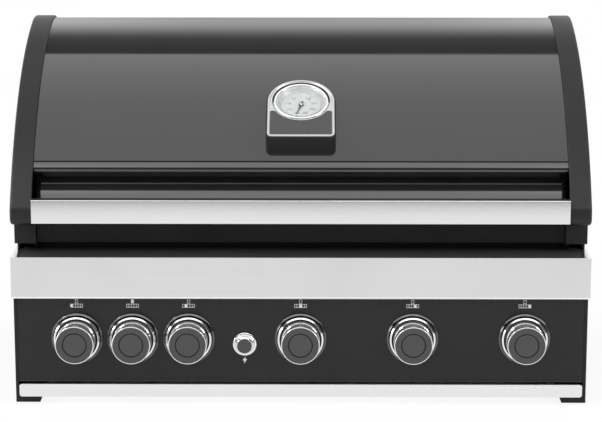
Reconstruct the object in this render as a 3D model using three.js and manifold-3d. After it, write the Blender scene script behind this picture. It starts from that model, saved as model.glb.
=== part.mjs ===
// Built-in gas grill head, in millimetres: X to the right, Y to the back, Z up.
// Sizes are drawn from the steel band's front plane (Y 0) and the floor under the feet (Z 0).
// The finished group is moved back so that its origin is under the middle of the whole part.
import * as THREE from 'three';
import { mergeVertices } from 'three/addons/utils/BufferGeometryUtils.js';
import Module from 'manifold-3d';

const wasm = await Module();
wasm.setup();

// Driving sizes
const gap = 0.3; // left between pieces that touch
const overrun = 1; // how far a cutting tool runs past what it cuts
const sheet = 1.5; // folded steel sheet
const plate = 2; // fire box sheet

const band = {
  halfWidth: 440,
  bottomZ: 167.3,
  topZ: 231.7,
  returnDepth: 80,
  hemFront: 10.5,
  hemBack: 4,
};
const body = { faceY: 12, backGap: 9 }; // the control panel's face, and the lid's back to the body's
const foot = { bottomWidth: 37, topWidth: 41, height: 12, lip: 9, lipRoot: 2.4 };
const shelf = { drop: 2.2, lip: 14, endGap: 12, backGap: 1 };
const panel = { flange: 5.6, bottomZ: 36.4, foldDepth: 30, spindleHole: 7 };
const tray = {
  endGap: 1.4,
  topGap: 3.9,
  hem: 8,
  frontDepth: 3,
  wallGap: 5.2,
  runner: 6.8,
  wallHeight: 16.7,
  length: 430,
};
const casting = {
  width: 32.9,
  wall: 6,
  skin: 5,
  frontY: 41,
  backGap: 3,
  rise: 12.3, // from the band's top to the castings' rim
  rimHeight: 34,
  stepGap: 11,
  stepHeight: 6,
  ledgeDrop: 16,
  ledgeDepth: 12,
  ledgeThickness: 4,
  ledgeLength: 95,
};
const lid = {
  seatGap: 1,
  capWidth: 33,
  capWall: 5,
  capProud: 3.5,
  noseY: 5,
  noseRise: 25,
  noseCorner: 12,
  height: 276,
  hingeCover: 34,
  crownRadius: 130,
  frontRadius: 485,
  skinBackRise: 26,
  linerGap: 16,
  linerSheet: 1,
  linerFrontY: 90,
  linerRise: 13,
};
const cove = { depth: 39, height: 52.6, radius: 39 };
const coveLipAngle = -111; // degrees
const handle = { seat: 4, height: 36.5, frontY: 2, depth: 18, bulge: 4, corner: 3, wall: 1.5 };
const hinge = {
  height: 11,
  backGap: 1,
  pinRadius: 4,
  boreRadius: 4.4,
  pinReach: 21,
  lugWidth: 12.5,
  lugGap: 0.7,
  lugRadius: 11,
  bossRadius: 14,
  cheekGap: 20,
};
const fireBox = {
  rimInset: 9,
  rimDepth: 32,
  rimDrop: 6,
  depth: 359,
  rearRise: 101,
  ledgeDepth: 15,
  grateDrop: 14,
  tamerDrop: 78,
  floorZ: 62,
  floorRise: 12,
  slotHalfWidth: 26,
  slotInset: 70,
};
const burner = {
  leastPitch: 150,
  sideGap: 63,
  radius: 16,
  wall: 1.5,
  mouthGap: 4,
  rearGap: 15,
  tailRadius: 5,
};
const tamer = { halfWidth: 60, height: 30, tab: 8 };
const grate = { sideGap: 6, seam: 1.2, thickness: 12, rim: 11, bar: 9, slot: 9.5 };
const rack = { height: 90, depth: 82, backGap: 4, sideGap: 10.3, wire: 3, rod: 2, rods: 7, ties: 5 };
const rearBurner = { sideGap: 105, depth: 34, height: 64, frame: 10, recess: 6 };
const valve = {
  axisZ: 102.5,
  standOff: 12,
  depth: 34,
  halfWidth: 13,
  halfHeight: 14,
  nozzleRadius: 5,
  nozzleLength: 16,
};
const manifold = { drop: 21, radius: 9.5, overhang: 18, sideGap: 18.2, inletRadius: 7 };
const inlet = { tail: 12.2, boreRadius: 4.5, boreDepth: 18, hole: 9 };
const feed = { radius: 4, drop: 15, behind: 11, entry: 28, bend: 18 };
const spindle = { radius: 3, flat: 2, grip: 9, reach: 36 };
const knob = {
  clearance: 0.6,
  travel: 4,
  skirtRadius: 35.15,
  skirtDepth: 6.9,
  collarRadius: 31.6,
  faceRadius: 29.4,
  height: 32.5,
  edge: 1.6,
  recessRadius: 18.2,
  recessDepth: 1.2,
};
const knobBezel = { gap: 1.15, width: 3.35, height: 3.5 };
const igniter = {
  drop: 8.5,
  ringRadius: 18.3,
  ringHeight: 4.5,
  buttonRadius: 11.65,
  buttonProud: 10.5,
  barrelRadius: 15,
  barrelDepth: 19,
  wall: 2,
  travel: 4,
};
const gauge = {
  dialHeight: 173.35,
  dialProud: 9,
  halfWidth: 51.5,
  length: 135,
  corner: 7,
  plate: 1.2,
  rimOut: 2,
  depth: 62,
  bezelOuter: 44.2,
  bezelInner: 39.2,
  bezelHeight: 1.8,
  caseWall: 1.5,
  caseGap: 0.5,
  boreSlack: 0.1,
  caseDepth: 15,
  dialRadius: 30,
  dialDepth: 9,
  glassDepth: 1.5,
  glass: 1.2,
  post: 1.5,
  stemRadius: 4,
  stemClearance: 1,
  stemLength: 68,
  needle: 24,
  needleTail: 8,
  needleHub: 4,
  needleTip: 0.8,
  needleSheet: 0.8,
};
const gaugeWedgeAngle = 10.25; // degrees between the gauge's plate and the lid under its dial
const needleRestAngle = -17; // degrees

// Sides of round pieces and steps of arcs
const roundSides = { large: 32, medium: 24, tube: 14, small: 8, wire: 6 };
const steps = {
  corner: 4,
  cove: 14,
  front: 18,
  crown: 10,
  capFront: 14,
  capCrown: 9,
  linerFront: 10,
  linerCrown: 8,
};
const gaugeSteps = { round: 20, lidCut: 60 };

// Points on the handle's bulging front, in shares of half its height
const bulgeShares = [0.5, 0, -0.5];

// Places across the head, from the middle to one side
const sideX = band.halfWidth - sheet - gap;
const panelX = sideX - panel.flange;
const castingX = sideX - casting.width;
const fireX = castingX - gap;
const grateX = fireX - grate.sideGap;
const rackX = castingX - rack.sideGap;
const capX = band.halfWidth - lid.capWidth;
const skinX = capX - gap;
const linerX = skinX - sheet;
const cheekX = linerX - lid.linerSheet;
const lugOuterX = cheekX - lid.linerSheet - hinge.lugGap;
const lugInnerX = lugOuterX - hinge.lugWidth;
const pinInnerX = lugInnerX - plate;
const pinOuterX = capX + hinge.pinReach;
const footX = sideX - foot.topWidth;
const inletX = sideX - manifold.sideGap;

// The main burners are evenly spaced; the rear burner's knob and the igniter go between them
const burnerX = fireX - burner.sideGap;
const burnerCount = 1 + Math.floor((2 * burnerX) / burner.leastPitch);
const mainBurnerXs = Array.from({ length: burnerCount }, (_, i) => {
  const acrossShare = (2 * i) / (burnerCount - 1) - 1;
  return burnerX * acrossShare;
});
const feedX = (mainBurnerXs[0] + mainBurnerXs[1]) / 2;
const igniterX = (mainBurnerXs[1] + mainBurnerXs[2]) / 2;
const knobXs = [mainBurnerXs[0], feedX, ...mainBurnerXs.slice(1)];

// Heights above the floor
const shelfTopZ = band.topZ - shelf.drop;
const rimZ = band.topZ + casting.rise;
const castingTopZ = rimZ + casting.rimHeight;
const rackLedgeZ = castingTopZ - casting.ledgeDrop;
const fireTopZ = castingTopZ - fireBox.rimDrop;
const grateLedgeZ = rimZ - fireBox.grateDrop;
const tamerLedgeZ = grateLedgeZ - fireBox.tamerDrop;
const rearTopZ = rimZ + fireBox.rearRise;
const rackZ = rackLedgeZ + rack.height;
const lidZ = castingTopZ + lid.seatGap;
const manifoldZ = valve.axisZ - manifold.drop;
const igniterZ = valve.axisZ - igniter.drop;
const trayZ = foot.height + gap;
const trayTopZ = panel.bottomZ - tray.topGap;

// Depths behind the band's front
const fireFrontY = casting.frontY + fireBox.rimInset + fireBox.rimDepth;
const fireInnerY = fireFrontY + plate;
const fireRearY = fireFrontY + fireBox.depth;
const fireBackY = fireRearY + plate;
const hingeLine = { y: fireBackY + hinge.backGap + hinge.lugRadius, z: lidZ + hinge.height };
const lidBackY = hingeLine.y + lid.hingeCover;
const bodyBackY = lidBackY + body.backGap;
const stepY = fireRearY - casting.stepGap;
const rackBackY = stepY - rack.backGap;
const rackFrontY = rackBackY - rack.depth;
const valveFrontY = body.faceY + valve.standOff;
const valveBackY = valveFrontY + valve.depth;
const manifoldY = (valveFrontY + valveBackY) / 2;
const feedBackY = fireBackY + feed.behind;
const rearPanelY = bodyBackY + gap;
const inletEndY = rearPanelY + sheet + inlet.tail;
const spindleFrontY = valveFrontY - spindle.reach;
const spindleRearY = valveFrontY + spindle.grip;
const skirtBackY = body.faceY - knob.travel - knob.clearance;
const skirtFrontY = skirtBackY - knob.skirtDepth;
const knobFaceY = skirtFrontY - knob.height;

// Materials, with the colours that the photograph shows
function finish(colour, roughness, metalness) {
  return new THREE.MeshStandardMaterial({ color: colour, roughness, metalness });
}
const glossBlack = finish(0x1c1c1d, 0.12, 0);
const satinBlack = finish(0x2b2b2c, 0.5, 0);
const castBlack = finish(0x242425, 0.6, 0);
const brushedSteel = finish(0xcfcfcf, 0.32, 1);
const chromed = finish(0xe4e4e6, 0.08, 1);
const knobFace = finish(0x3c3c3d, 0.35, 0);
const innerSteel = finish(0x9c9a96, 0.45, 1);
const castIron = finish(0x202021, 0.75, 0);
const brassy = finish(0xb08d4a, 0.35, 1);
const dialPaint = finish(0xe4e6e2, 0.5, 0);
const needlePaint = finish(0x3a3f40, 0.5, 0);
const clearGlass = new THREE.MeshStandardMaterial({ color: 0xf4f8f8, roughness: 0.05, opacity: 0.3 });

// Joining and cutting of closed shapes
function solidOf(geometry) {
  const bare = geometry.clone();
  bare.deleteAttribute('normal');
  bare.deleteAttribute('uv');
  const merged = mergeVertices(bare);
  const index = merged.getIndex().array;
  const triVerts = [];
  for (let i = 0; i < index.length; i += 3) {
    const [a, b, c] = [index[i], index[i + 1], index[i + 2]];
    if (a !== b && b !== c && c !== a) triVerts.push(a, b, c);
  }
  const vertProperties = merged.getAttribute('position').array;
  const mesh = new wasm.Mesh({ numProp: 3, vertProperties, triVerts: Uint32Array.from(triVerts) });
  return new wasm.Manifold(mesh);
}

function geometryOf(solid) {
  const mesh = solid.getMesh();
  const geometry = new THREE.BufferGeometry();
  geometry.setAttribute('position', new THREE.BufferAttribute(mesh.vertProperties, mesh.numProp));
  geometry.setIndex(new THREE.BufferAttribute(mesh.triVerts, 1));
  return geometry;
}

function join(...geometries) {
  return geometryOf(geometries.map(solidOf).reduce((whole, next) => whole.add(next)));
}

function cut(base, ...tools) {
  return geometryOf(tools.map(solidOf).reduce((whole, tool) => whole.subtract(tool), solidOf(base)));
}

// Basic shapes, placed by their limits
function box(xa, xb, ya, yb, za, zb) {
  const geometry = new THREE.BoxGeometry(Math.abs(xb - xa), Math.abs(yb - ya), Math.abs(zb - za));
  return geometry.translate((xa + xb) / 2, (ya + yb) / 2, (za + zb) / 2);
}

function shapeOf(points, holes = []) {
  const shape = new THREE.Shape(points.map(([u, v]) => new THREE.Vector2(u, v)));
  for (const hole of holes) {
    shape.holes.push(new THREE.Path(hole.map(([u, v]) => new THREE.Vector2(u, v))));
  }
  return shape;
}

function drawnOut(points, depth, holes) {
  return new THREE.ExtrudeGeometry(shapeOf(points, holes), { depth, bevelEnabled: false });
}

// An outline of (Y, Z) points drawn out along X
function alongX(points, xa, xb, holes) {
  const turn = new THREE.Matrix4().set(0, 0, 1, 0, 1, 0, 0, 0, 0, 1, 0, 0, 0, 0, 0, 1);
  return drawnOut(points, Math.abs(xb - xa), holes).applyMatrix4(turn).translate(Math.min(xa, xb), 0, 0);
}

// An outline of (X, Z) points drawn out along Y
function alongY(points, ya, yb) {
  return drawnOut(points, yb - ya).rotateX(Math.PI / 2).translate(0, yb, 0);
}

// An outline of (X, Y) points drawn out along Z
function alongZ(points, za, zb, holes) {
  return drawnOut(points, zb - za, holes).translate(0, 0, za);
}

function rodX(radius, xa, xb, y, z, sides = roundSides.tube) {
  const geometry = new THREE.CylinderGeometry(radius, radius, Math.abs(xb - xa), sides);
  return geometry.rotateZ(Math.PI / 2).translate((xa + xb) / 2, y, z);
}

function rodY(radius, x, ya, yb, z, sides = roundSides.tube) {
  return new THREE.CylinderGeometry(radius, radius, yb - ya, sides).translate(x, (ya + yb) / 2, z);
}

function rodZ(radius, x, y, za, zb, sides = roundSides.tube) {
  const geometry = new THREE.CylinderGeometry(radius, radius, zb - za, sides);
  return geometry.rotateX(Math.PI / 2).translate(x, y, (za + zb) / 2);
}

// A profile of (radius, Y) points turned about a line along Y
function turned(profile, sides) {
  const closed = profile[0][0] > 0 ? [...profile, profile[0]] : profile;
  let area = 0;
  closed.forEach(([r, y], i) => {
    const [nextR, nextY] = closed[(i + 1) % closed.length];
    area += r * nextY - nextR * y;
  });
  const ordered = area > 0 ? closed : [...closed].reverse();
  return new THREE.LatheGeometry(ordered.map(([r, y]) => new THREE.Vector2(r, y)), sides);
}

function ring(radius, count) {
  return Array.from({ length: count }, (_, i) => {
    const angle = (i / count) * Math.PI * 2;
    return [radius * Math.cos(angle), radius * Math.sin(angle)];
  });
}

function arc(centre, radius, from, to, count) {
  return Array.from({ length: count + 1 }, (_, i) => {
    const angle = from + ((to - from) * i) / count;
    return [centre.y + radius * Math.cos(angle), centre.z + radius * Math.sin(angle)];
  });
}

// The point where two circles meet, on the left of the way from the first centre to the second
function meet(first, firstRadius, second, secondRadius) {
  const across = second.y - first.y;
  const up = second.z - first.z;
  const apart = Math.hypot(across, up);
  const along = (firstRadius ** 2 - secondRadius ** 2 + apart ** 2) / (2 * apart);
  const aside = Math.sqrt(firstRadius ** 2 - along ** 2);
  return {
    y: first.y + (along * across - aside * up) / apart,
    z: first.z + (along * up + aside * across) / apart,
  };
}

function angleAt(centre, point) {
  return Math.atan2(point.z - centre.z, point.y - centre.y);
}

const group = new THREE.Group();

function add(name, geometry, material, parent = group) {
  const mesh = new THREE.Mesh(geometry, material);
  mesh.name = name;
  parent.add(mesh);
  return mesh;
}

// The left piece and the right piece of a pair, by name, with the sign of their side
function pair(name) {
  return [[`${name}_left`, -1], [`${name}_right`, 1]];
}

// The lid's side outline: a long front arc that runs into a tighter crown, then the back
const crownCentre = { y: lidBackY - lid.crownRadius, z: lidZ + lid.height - lid.crownRadius };
const nose = { y: lid.noseY, z: lidZ + lid.noseRise };
const frontCentre = meet(crownCentre, lid.frontRadius - lid.crownRadius, nose, lid.frontRadius);
const joinAngle = angleAt(frontCentre, crownCentre);
const coveCentre = { y: cove.depth, z: lidZ + cove.height };
const linerInset = lid.capProud + sheet + lid.linerGap;

function angleOnFront(radius, y) {
  return Math.acos((y - frontCentre.y) / radius);
}

function overTheTop(inset, fromAngle, frontSteps, crownSteps) {
  return [
    ...arc(frontCentre, lid.frontRadius - inset, fromAngle, joinAngle, frontSteps),
    ...arc(crownCentre, lid.crownRadius - inset, joinAngle, 0, crownSteps).slice(1),
  ];
}

function capOutline(inset) {
  const startAngle = angleOnFront(lid.frontRadius - inset, lid.noseY + inset);
  const cornerCentre = { y: lid.noseY + lid.noseCorner, z: lidZ + lid.noseCorner };
  return [
    [lidBackY - inset, lidZ + inset],
    ...arc(cornerCentre, lid.noseCorner - inset, -Math.PI / 2, -Math.PI, steps.corner),
    ...overTheTop(inset, startAngle, steps.capFront, steps.capCrown),
  ];
}

function skinPath(inset) {
  const coveRadius = cove.radius + inset - lid.capProud;
  const crease = meet(coveCentre, coveRadius, frontCentre, lid.frontRadius - inset);
  const lipAngle = THREE.MathUtils.degToRad(coveLipAngle);
  return [
    ...arc(coveCentre, coveRadius, lipAngle, angleAt(coveCentre, crease), steps.cove),
    ...overTheTop(inset, angleAt(frontCentre, crease), steps.front, steps.crown).slice(1),
    [lidBackY - inset, lidZ + lid.skinBackRise],
  ];
}

function linerPath(inset, bottomZ) {
  const frontY = lid.linerFrontY + inset - linerInset;
  const startAngle = angleOnFront(lid.frontRadius - inset, frontY);
  return [
    [frontY, bottomZ],
    ...overTheTop(inset, startAngle, steps.linerFront, steps.linerCrown),
    [lidBackY - inset, lidZ + lid.skinBackRise],
  ];
}

// The gauge stands on the lid's front; what is drilled for its stem runs square to its plate
const gaugeCentre = gauge.length - gauge.halfWidth;
const dialReach = lid.frontRadius - lid.capProud + gauge.dialProud;
const dialAngle = Math.asin((lidZ + gauge.dialHeight - frontCentre.z) / dialReach);
const gaugeLean = Math.PI / 2 - dialAngle - THREE.MathUtils.degToRad(gaugeWedgeAngle);
const gaugeFootY = frontCentre.y - dialReach * Math.cos(dialAngle) - gaugeCentre * Math.cos(gaugeLean);
const gaugeFootZ = lidZ + gauge.dialHeight - gaugeCentre * Math.sin(gaugeLean);
const caseRadius = gauge.bezelInner - gauge.caseGap;
const housingBore = caseRadius + gap + gauge.boreSlack;

function inGaugeFrame(geometry) {
  return geometry.rotateX(gaugeLean).translate(0, gaugeFootY, gaugeFootZ);
}

function gaugeHole(radius, sides) {
  const reach = gauge.stemLength + gauge.plate;
  return inGaugeFrame(rodZ(radius, 0, gaugeCentre, -reach, 0, sides));
}

function makeLid() {
  const outerSkin = skinPath(lid.capProud);
  const innerSkin = skinPath(lid.capProud + sheet);
  const skin = alongX([...outerSkin, ...innerSkin.reverse()], -skinX, skinX);
  add('lid_skin', cut(skin, gaugeHole(housingBore, roundSides.large)), glossBlack);

  const linerZ = lidZ + lid.linerRise;
  const outerLiner = linerPath(linerInset, linerZ);
  const innerLiner = linerPath(linerInset + lid.linerSheet, linerZ);
  const arch = alongX([...outerLiner, ...innerLiner.reverse()], -linerX, linerX);
  const cheekZ = linerZ + overrun;
  const cheek = [
    ...linerPath(linerInset + lid.linerSheet / 2, cheekZ),
    [hingeLine.y - hinge.cheekGap, cheekZ],
  ];
  const cheeks = [-1, 1].map((side) => alongX(cheek, side * (cheekX - lid.linerSheet), side * cheekX));
  const stemHole = gaugeHole(gauge.stemRadius + gauge.stemClearance, roundSides.medium);
  add('lid_liner', cut(join(arch, ...cheeks), stemHole), innerSteel);

  for (const [name, side] of pair('lid_end_cap')) {
    const innerX = side * capX;
    const wallX = side * (band.halfWidth - lid.capWall);
    const mouthX = innerX - side * overrun;
    const outerX = side * band.halfWidth;
    const shell = cut(alongX(capOutline(0), innerX, outerX), alongX(capOutline(lid.capWall), mouthX, wallX));
    const boss = rodX(hinge.bossRadius, innerX, wallX + side * overrun, hingeLine.y, hingeLine.z);
    const trimmed = cut(boss, box(mouthX, outerX + side * overrun, 0, lidBackY, 0, lidZ));
    const bore = rodX(hinge.boreRadius, mouthX, side * (pinOuterX + overrun), hingeLine.y, hingeLine.z);
    add(name, cut(join(shell, trimmed), bore), satinBlack);
  }
}

function handleOutline(inset) {
  const frontY = handle.frontY + handle.bulge + inset;
  const backY = handle.frontY + handle.depth - inset;
  const bottomZ = lidZ + handle.seat + inset;
  const topZ = lidZ + handle.seat + handle.height - inset;
  const corner = handle.corner - inset / 2;
  const half = (topZ - bottomZ) / 2 - corner;
  const middleZ = (bottomZ + topZ) / 2;
  const front = bulgeShares.map((share) => [
    frontY - handle.bulge * (1 - share ** 2),
    middleZ + share * half,
  ]);
  const cornerY = frontY + corner;
  return [
    [backY, bottomZ],
    [backY, topZ],
    ...arc({ y: cornerY, z: topZ - corner }, corner, Math.PI / 2, Math.PI, steps.corner),
    ...front,
    ...arc({ y: cornerY, z: bottomZ + corner }, corner, Math.PI, Math.PI * 1.5, steps.corner),
  ];
}

function makeHandle() {
  const bar = alongX(handleOutline(0), -skinX, skinX, [handleOutline(handle.wall)]);
  add('lid_handle', bar, brushedSteel);
}

function makeHinges() {
  for (const [name, side] of pair('hinge_pin')) {
    const pin = rodX(hinge.pinRadius, side * pinInnerX, side * pinOuterX, hingeLine.y, hingeLine.z);
    add(name, pin, innerSteel);
  }
}

function makeCastings() {
  for (const [name, side] of pair('side_casting')) {
    const innerX = side * castingX;
    const outerX = side * sideX;
    const wallX = innerX + side * casting.wall;
    const skinInnerX = outerX - side * casting.skin;
    const backY = bodyBackY - casting.backGap;
    const topUnderZ = castingTopZ - casting.skin;
    const stepZ = rimZ + casting.stepHeight;
    const rail = join(
      box(innerX, outerX, casting.frontY, casting.frontY + casting.skin, rimZ, castingTopZ),
      box(innerX, outerX, casting.frontY, stepY, topUnderZ, castingTopZ),
      box(skinInnerX, outerX, casting.frontY, stepY, rimZ, castingTopZ),
      box(innerX, outerX, stepY, backY, rimZ, stepZ),
      box(innerX, outerX, stepY - casting.skin, stepY, rimZ, castingTopZ),
      box(innerX, wallX, casting.frontY, stepY, shelfTopZ + gap, castingTopZ),
      box(innerX, wallX, fireInnerY, fireRearY, fireBox.floorZ, rimZ + overrun),
    );
    const ledgeX = innerX - side * casting.ledgeDepth;
    const ledgeY = stepY - casting.ledgeLength;
    const rackLedge = box(ledgeX, wallX, ledgeY, stepY, rackLedgeZ - casting.ledgeThickness, rackLedgeZ);
    const lugX = side * lugInnerX;
    const lugEndX = side * lugOuterX;
    const lugBack = hingeLine.y + hinge.lugRadius;
    const lugFront = hingeLine.y - hinge.lugRadius;
    const lug = cut(
      join(
        box(lugX, lugEndX, lugFront, lugBack, rimZ, hingeLine.z),
        rodX(hinge.lugRadius, lugX, lugEndX, hingeLine.y, hingeLine.z),
        box(lugX, wallX, lugFront, lugBack, rimZ, stepZ),
      ),
      rodX(hinge.pinRadius + gap, lugX - side * overrun, outerX, hingeLine.y, hingeLine.z),
    );
    add(name, join(rail, rackLedge, lug), castBlack);
  }
}

// One rod for each main burner, as a tool that drills a wall
function burnerHoles(radius, ya, yb) {
  return mainBurnerXs.map((x) => rodY(radius, x, ya - overrun, yb + overrun, valve.axisZ));
}

function makeFireBox() {
  const rimY = fireFrontY - fireBox.rimDepth;
  const ledgeBack = fireInnerY + fireBox.ledgeDepth;
  const frontWall = join(
    box(-fireX, fireX, rimY, rimY + plate, rimZ, fireTopZ),
    box(-fireX, fireX, rimY, fireInnerY, fireTopZ - plate, fireTopZ),
    box(-fireX, fireX, fireFrontY, fireInnerY, fireBox.floorZ, fireTopZ),
    box(-fireX, fireX, fireFrontY, ledgeBack, grateLedgeZ - plate, grateLedgeZ),
    box(-fireX, fireX, fireFrontY, ledgeBack, tamerLedgeZ - plate, tamerLedgeZ),
  );
  const frontHoles = burnerHoles(burner.radius + gap, fireFrontY, fireInnerY);
  add('firebox_front_wall', cut(frontWall, ...frontHoles), castBlack);

  const rearLedgeY = fireRearY - fireBox.ledgeDepth;
  const rearWall = join(
    box(-fireX, fireX, fireRearY, fireBackY, fireBox.floorZ, rackLedgeZ),
    box(-pinInnerX, pinInnerX, fireRearY, fireBackY, rackLedgeZ, rearTopZ),
    box(-fireX, fireX, rearLedgeY, fireBackY, grateLedgeZ - plate, grateLedgeZ),
    box(-fireX, fireX, rearLedgeY, fireBackY, tamerLedgeZ - plate, tamerLedgeZ),
  );
  const rearHoles = burnerHoles(burner.tailRadius + gap, fireRearY, fireBackY);
  const feedZ = fireTopZ + feed.entry;
  const feedHole = rodY(
    feed.radius + gap,
    feedX,
    fireRearY - overrun,
    fireBackY + overrun,
    feedZ,
    roundSides.small,
  );
  add('firebox_rear_wall', cut(rearWall, ...rearHoles, feedHole), innerSteel);

  const lowZ = fireBox.floorZ;
  const highZ = lowZ + fireBox.floorRise;
  const slotHalf = fireBox.slotHalfWidth;
  const outline = [
    [fireX, highZ + plate],
    [slotHalf, lowZ + plate],
    [-slotHalf, lowZ + plate],
    [-fireX, highZ + plate],
    [-fireX, highZ],
    [-slotHalf, lowZ],
    [slotHalf, lowZ],
    [fireX, highZ],
  ];
  const floor = alongY(outline, fireInnerY + gap, fireRearY - gap);
  const slotSide = slotHalf - plate;
  const slotFront = fireInnerY + fireBox.slotInset;
  const slotBack = fireRearY - fireBox.slotInset;
  const slot = box(-slotSide, slotSide, slotFront, slotBack, lowZ - overrun, highZ + plate);
  add('firebox_floor', cut(floor, slot), innerSteel);
}

function makeBurners() {
  const endY = fireRearY - burner.rearGap;
  const bore = burner.radius - burner.wall;
  const mouthY = valveBackY + burner.mouthGap;
  const tailY = fireBackY + burner.wall;
  const profile = [
    [0, endY - burner.wall],
    [bore, endY - burner.wall],
    [bore, mouthY],
    [burner.radius, mouthY],
    [burner.radius, endY],
    [burner.tailRadius, endY],
    [burner.tailRadius, tailY],
    [0, tailY],
  ];
  mainBurnerXs.forEach((x, i) => {
    const tube = turned(profile, roundSides.tube);
    add(`main_burner_${i + 1}`, tube, innerSteel).position.set(x, 0, valve.axisZ);
  });

  const half = fireX - rearBurner.sideGap;
  const pocketHalf = half - rearBurner.frame;
  const backY = fireRearY - gap;
  const frontY = backY - rearBurner.depth;
  const topZ = fireTopZ + rearBurner.height;
  const pocket = box(
    -pocketHalf,
    pocketHalf,
    frontY - overrun,
    frontY + rearBurner.recess,
    fireTopZ + rearBurner.frame,
    topZ - rearBurner.frame,
  );
  add('rear_burner', cut(box(-half, half, frontY, backY, fireTopZ, topZ), pocket), innerSteel);
}

function makeTamers() {
  const lowZ = tamerLedgeZ + gap;
  const half = tamer.halfWidth;
  const sill = half - tamer.tab;
  const under = [
    [-half, lowZ],
    [-sill, lowZ],
    [0, lowZ + tamer.height - sheet],
    [sill, lowZ],
    [half, lowZ],
  ];
  const over = under.map(([x, z]) => [x, z + sheet]).reverse();
  mainBurnerXs.forEach((x, i) => {
    const folded = alongY([...under, ...over], fireInnerY + gap, fireRearY - gap);
    add(`flame_tamer_${i + 1}`, folded, innerSteel).position.x = x;
  });
}

function makeGrates() {
  const names = ['grate_left', 'grate_centre', 'grate_right'];
  const width = (2 * grateX - (names.length - 1) * grate.seam) / names.length;
  const frontY = fireInnerY + gap;
  const backY = fireRearY - gap;
  const middleY = (frontY + backY) / 2;
  const bottomZ = grateLedgeZ + gap;
  const topZ = bottomZ + grate.thickness;
  const slots = Math.floor((width - 2 * grate.rim + grate.bar) / (grate.slot + grate.bar));
  const rimX = (width - slots * grate.slot - (slots - 1) * grate.bar) / 2;
  const rows = [
    [frontY + grate.rim, middleY - grate.bar / 2],
    [middleY + grate.bar / 2, backY - grate.rim],
  ];
  names.forEach((name, i) => {
    const leftX = -grateX + i * (width + grate.seam);
    const holes = [];
    for (let n = 0; n < slots; n += 1) {
      const slotX = leftX + rimX + n * (grate.slot + grate.bar);
      for (const [ya, yb] of rows) {
        holes.push(box(slotX, slotX + grate.slot, ya, yb, bottomZ - overrun, topZ + overrun));
      }
    }
    add(name, cut(box(leftX, leftX + width, frontY, backY, bottomZ, topZ), ...holes), castIron);
  });
}

function makeRack() {
  const pieces = [];
  const thickness = (i, count) => (i === 0 || i === count - 1 ? rack.wire : rack.rod);
  for (let i = 0; i < rack.rods; i += 1) {
    const y = rackFrontY + (rack.depth * i) / (rack.rods - 1);
    pieces.push(rodX(thickness(i, rack.rods), -rackX, rackX, y, rackZ, roundSides.wire));
  }
  for (let i = 0; i < rack.ties; i += 1) {
    const x = -rackX + (2 * rackX * i) / (rack.ties - 1);
    pieces.push(rodY(thickness(i, rack.ties), x, rackFrontY, rackBackY, rackZ, roundSides.wire));
  }
  for (const x of [-rackX, rackX]) {
    for (const y of [rackFrontY, rackBackY]) {
      pieces.push(rodZ(rack.wire, x, y, rackLedgeZ + gap, rackZ + rack.wire, roundSides.wire));
    }
  }
  add('warming_rack', join(...pieces), innerSteel);
}

// A valve's block, with the nozzle that feeds a main burner
function valveAt(x) {
  const block = box(
    x - valve.halfWidth,
    x + valve.halfWidth,
    valveFrontY,
    valveBackY,
    valve.axisZ - valve.halfHeight,
    valve.axisZ + valve.halfHeight,
  );
  if (x === feedX) return [block];
  const startY = valveBackY - overrun;
  const endY = valveBackY + valve.nozzleLength;
  return [block, rodY(valve.nozzleRadius, x, startY, endY, valve.axisZ, roundSides.small)];
}

// The manifold pipe with its six valves, the supply pipe to the back and the rear burner's feed pipe
function makeManifold() {
  const spindleHole = spindle.radius + gap;
  const holeEnd = spindleRearY + gap;
  const bores = knobXs.map((x) =>
    rodY(spindleHole, x, valveFrontY - overrun, holeEnd, valve.axisZ, roundSides.small));
  const pipeX = knobXs[0] - manifold.overhang;
  const pipe = rodX(manifold.radius, pipeX, inletX + manifold.radius, manifoldY, manifoldZ);
  const supply = rodY(manifold.inletRadius, inletX, manifoldY, inletEndY, manifoldZ);
  const inletBore = rodY(
    inlet.boreRadius,
    inletX,
    inletEndY - inlet.boreDepth,
    inletEndY + overrun,
    manifoldZ,
    roundSides.small,
  );
  const reach = feed.radius;
  const bendY = valveBackY + feed.bend;
  const lowZ = fireBox.floorZ - feed.drop;
  const topZ = fireTopZ + feed.entry;
  const feedPipe = [
    rodY(reach, feedX, valveBackY - overrun, bendY + reach, valve.axisZ, roundSides.small),
    rodZ(reach, feedX, bendY, lowZ - reach, valve.axisZ + reach, roundSides.small),
    rodY(reach, feedX, bendY - reach, feedBackY + reach, lowZ, roundSides.small),
    rodZ(reach, feedX, feedBackY, lowZ - reach, topZ + reach, roundSides.small),
    rodY(reach, feedX, fireRearY, feedBackY + reach, topZ, roundSides.small),
  ];
  const whole = join(pipe, supply, ...knobXs.flatMap(valveAt), ...feedPipe);
  add('gas_manifold', cut(whole, ...bores, inletBore), brassy);
}

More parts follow.
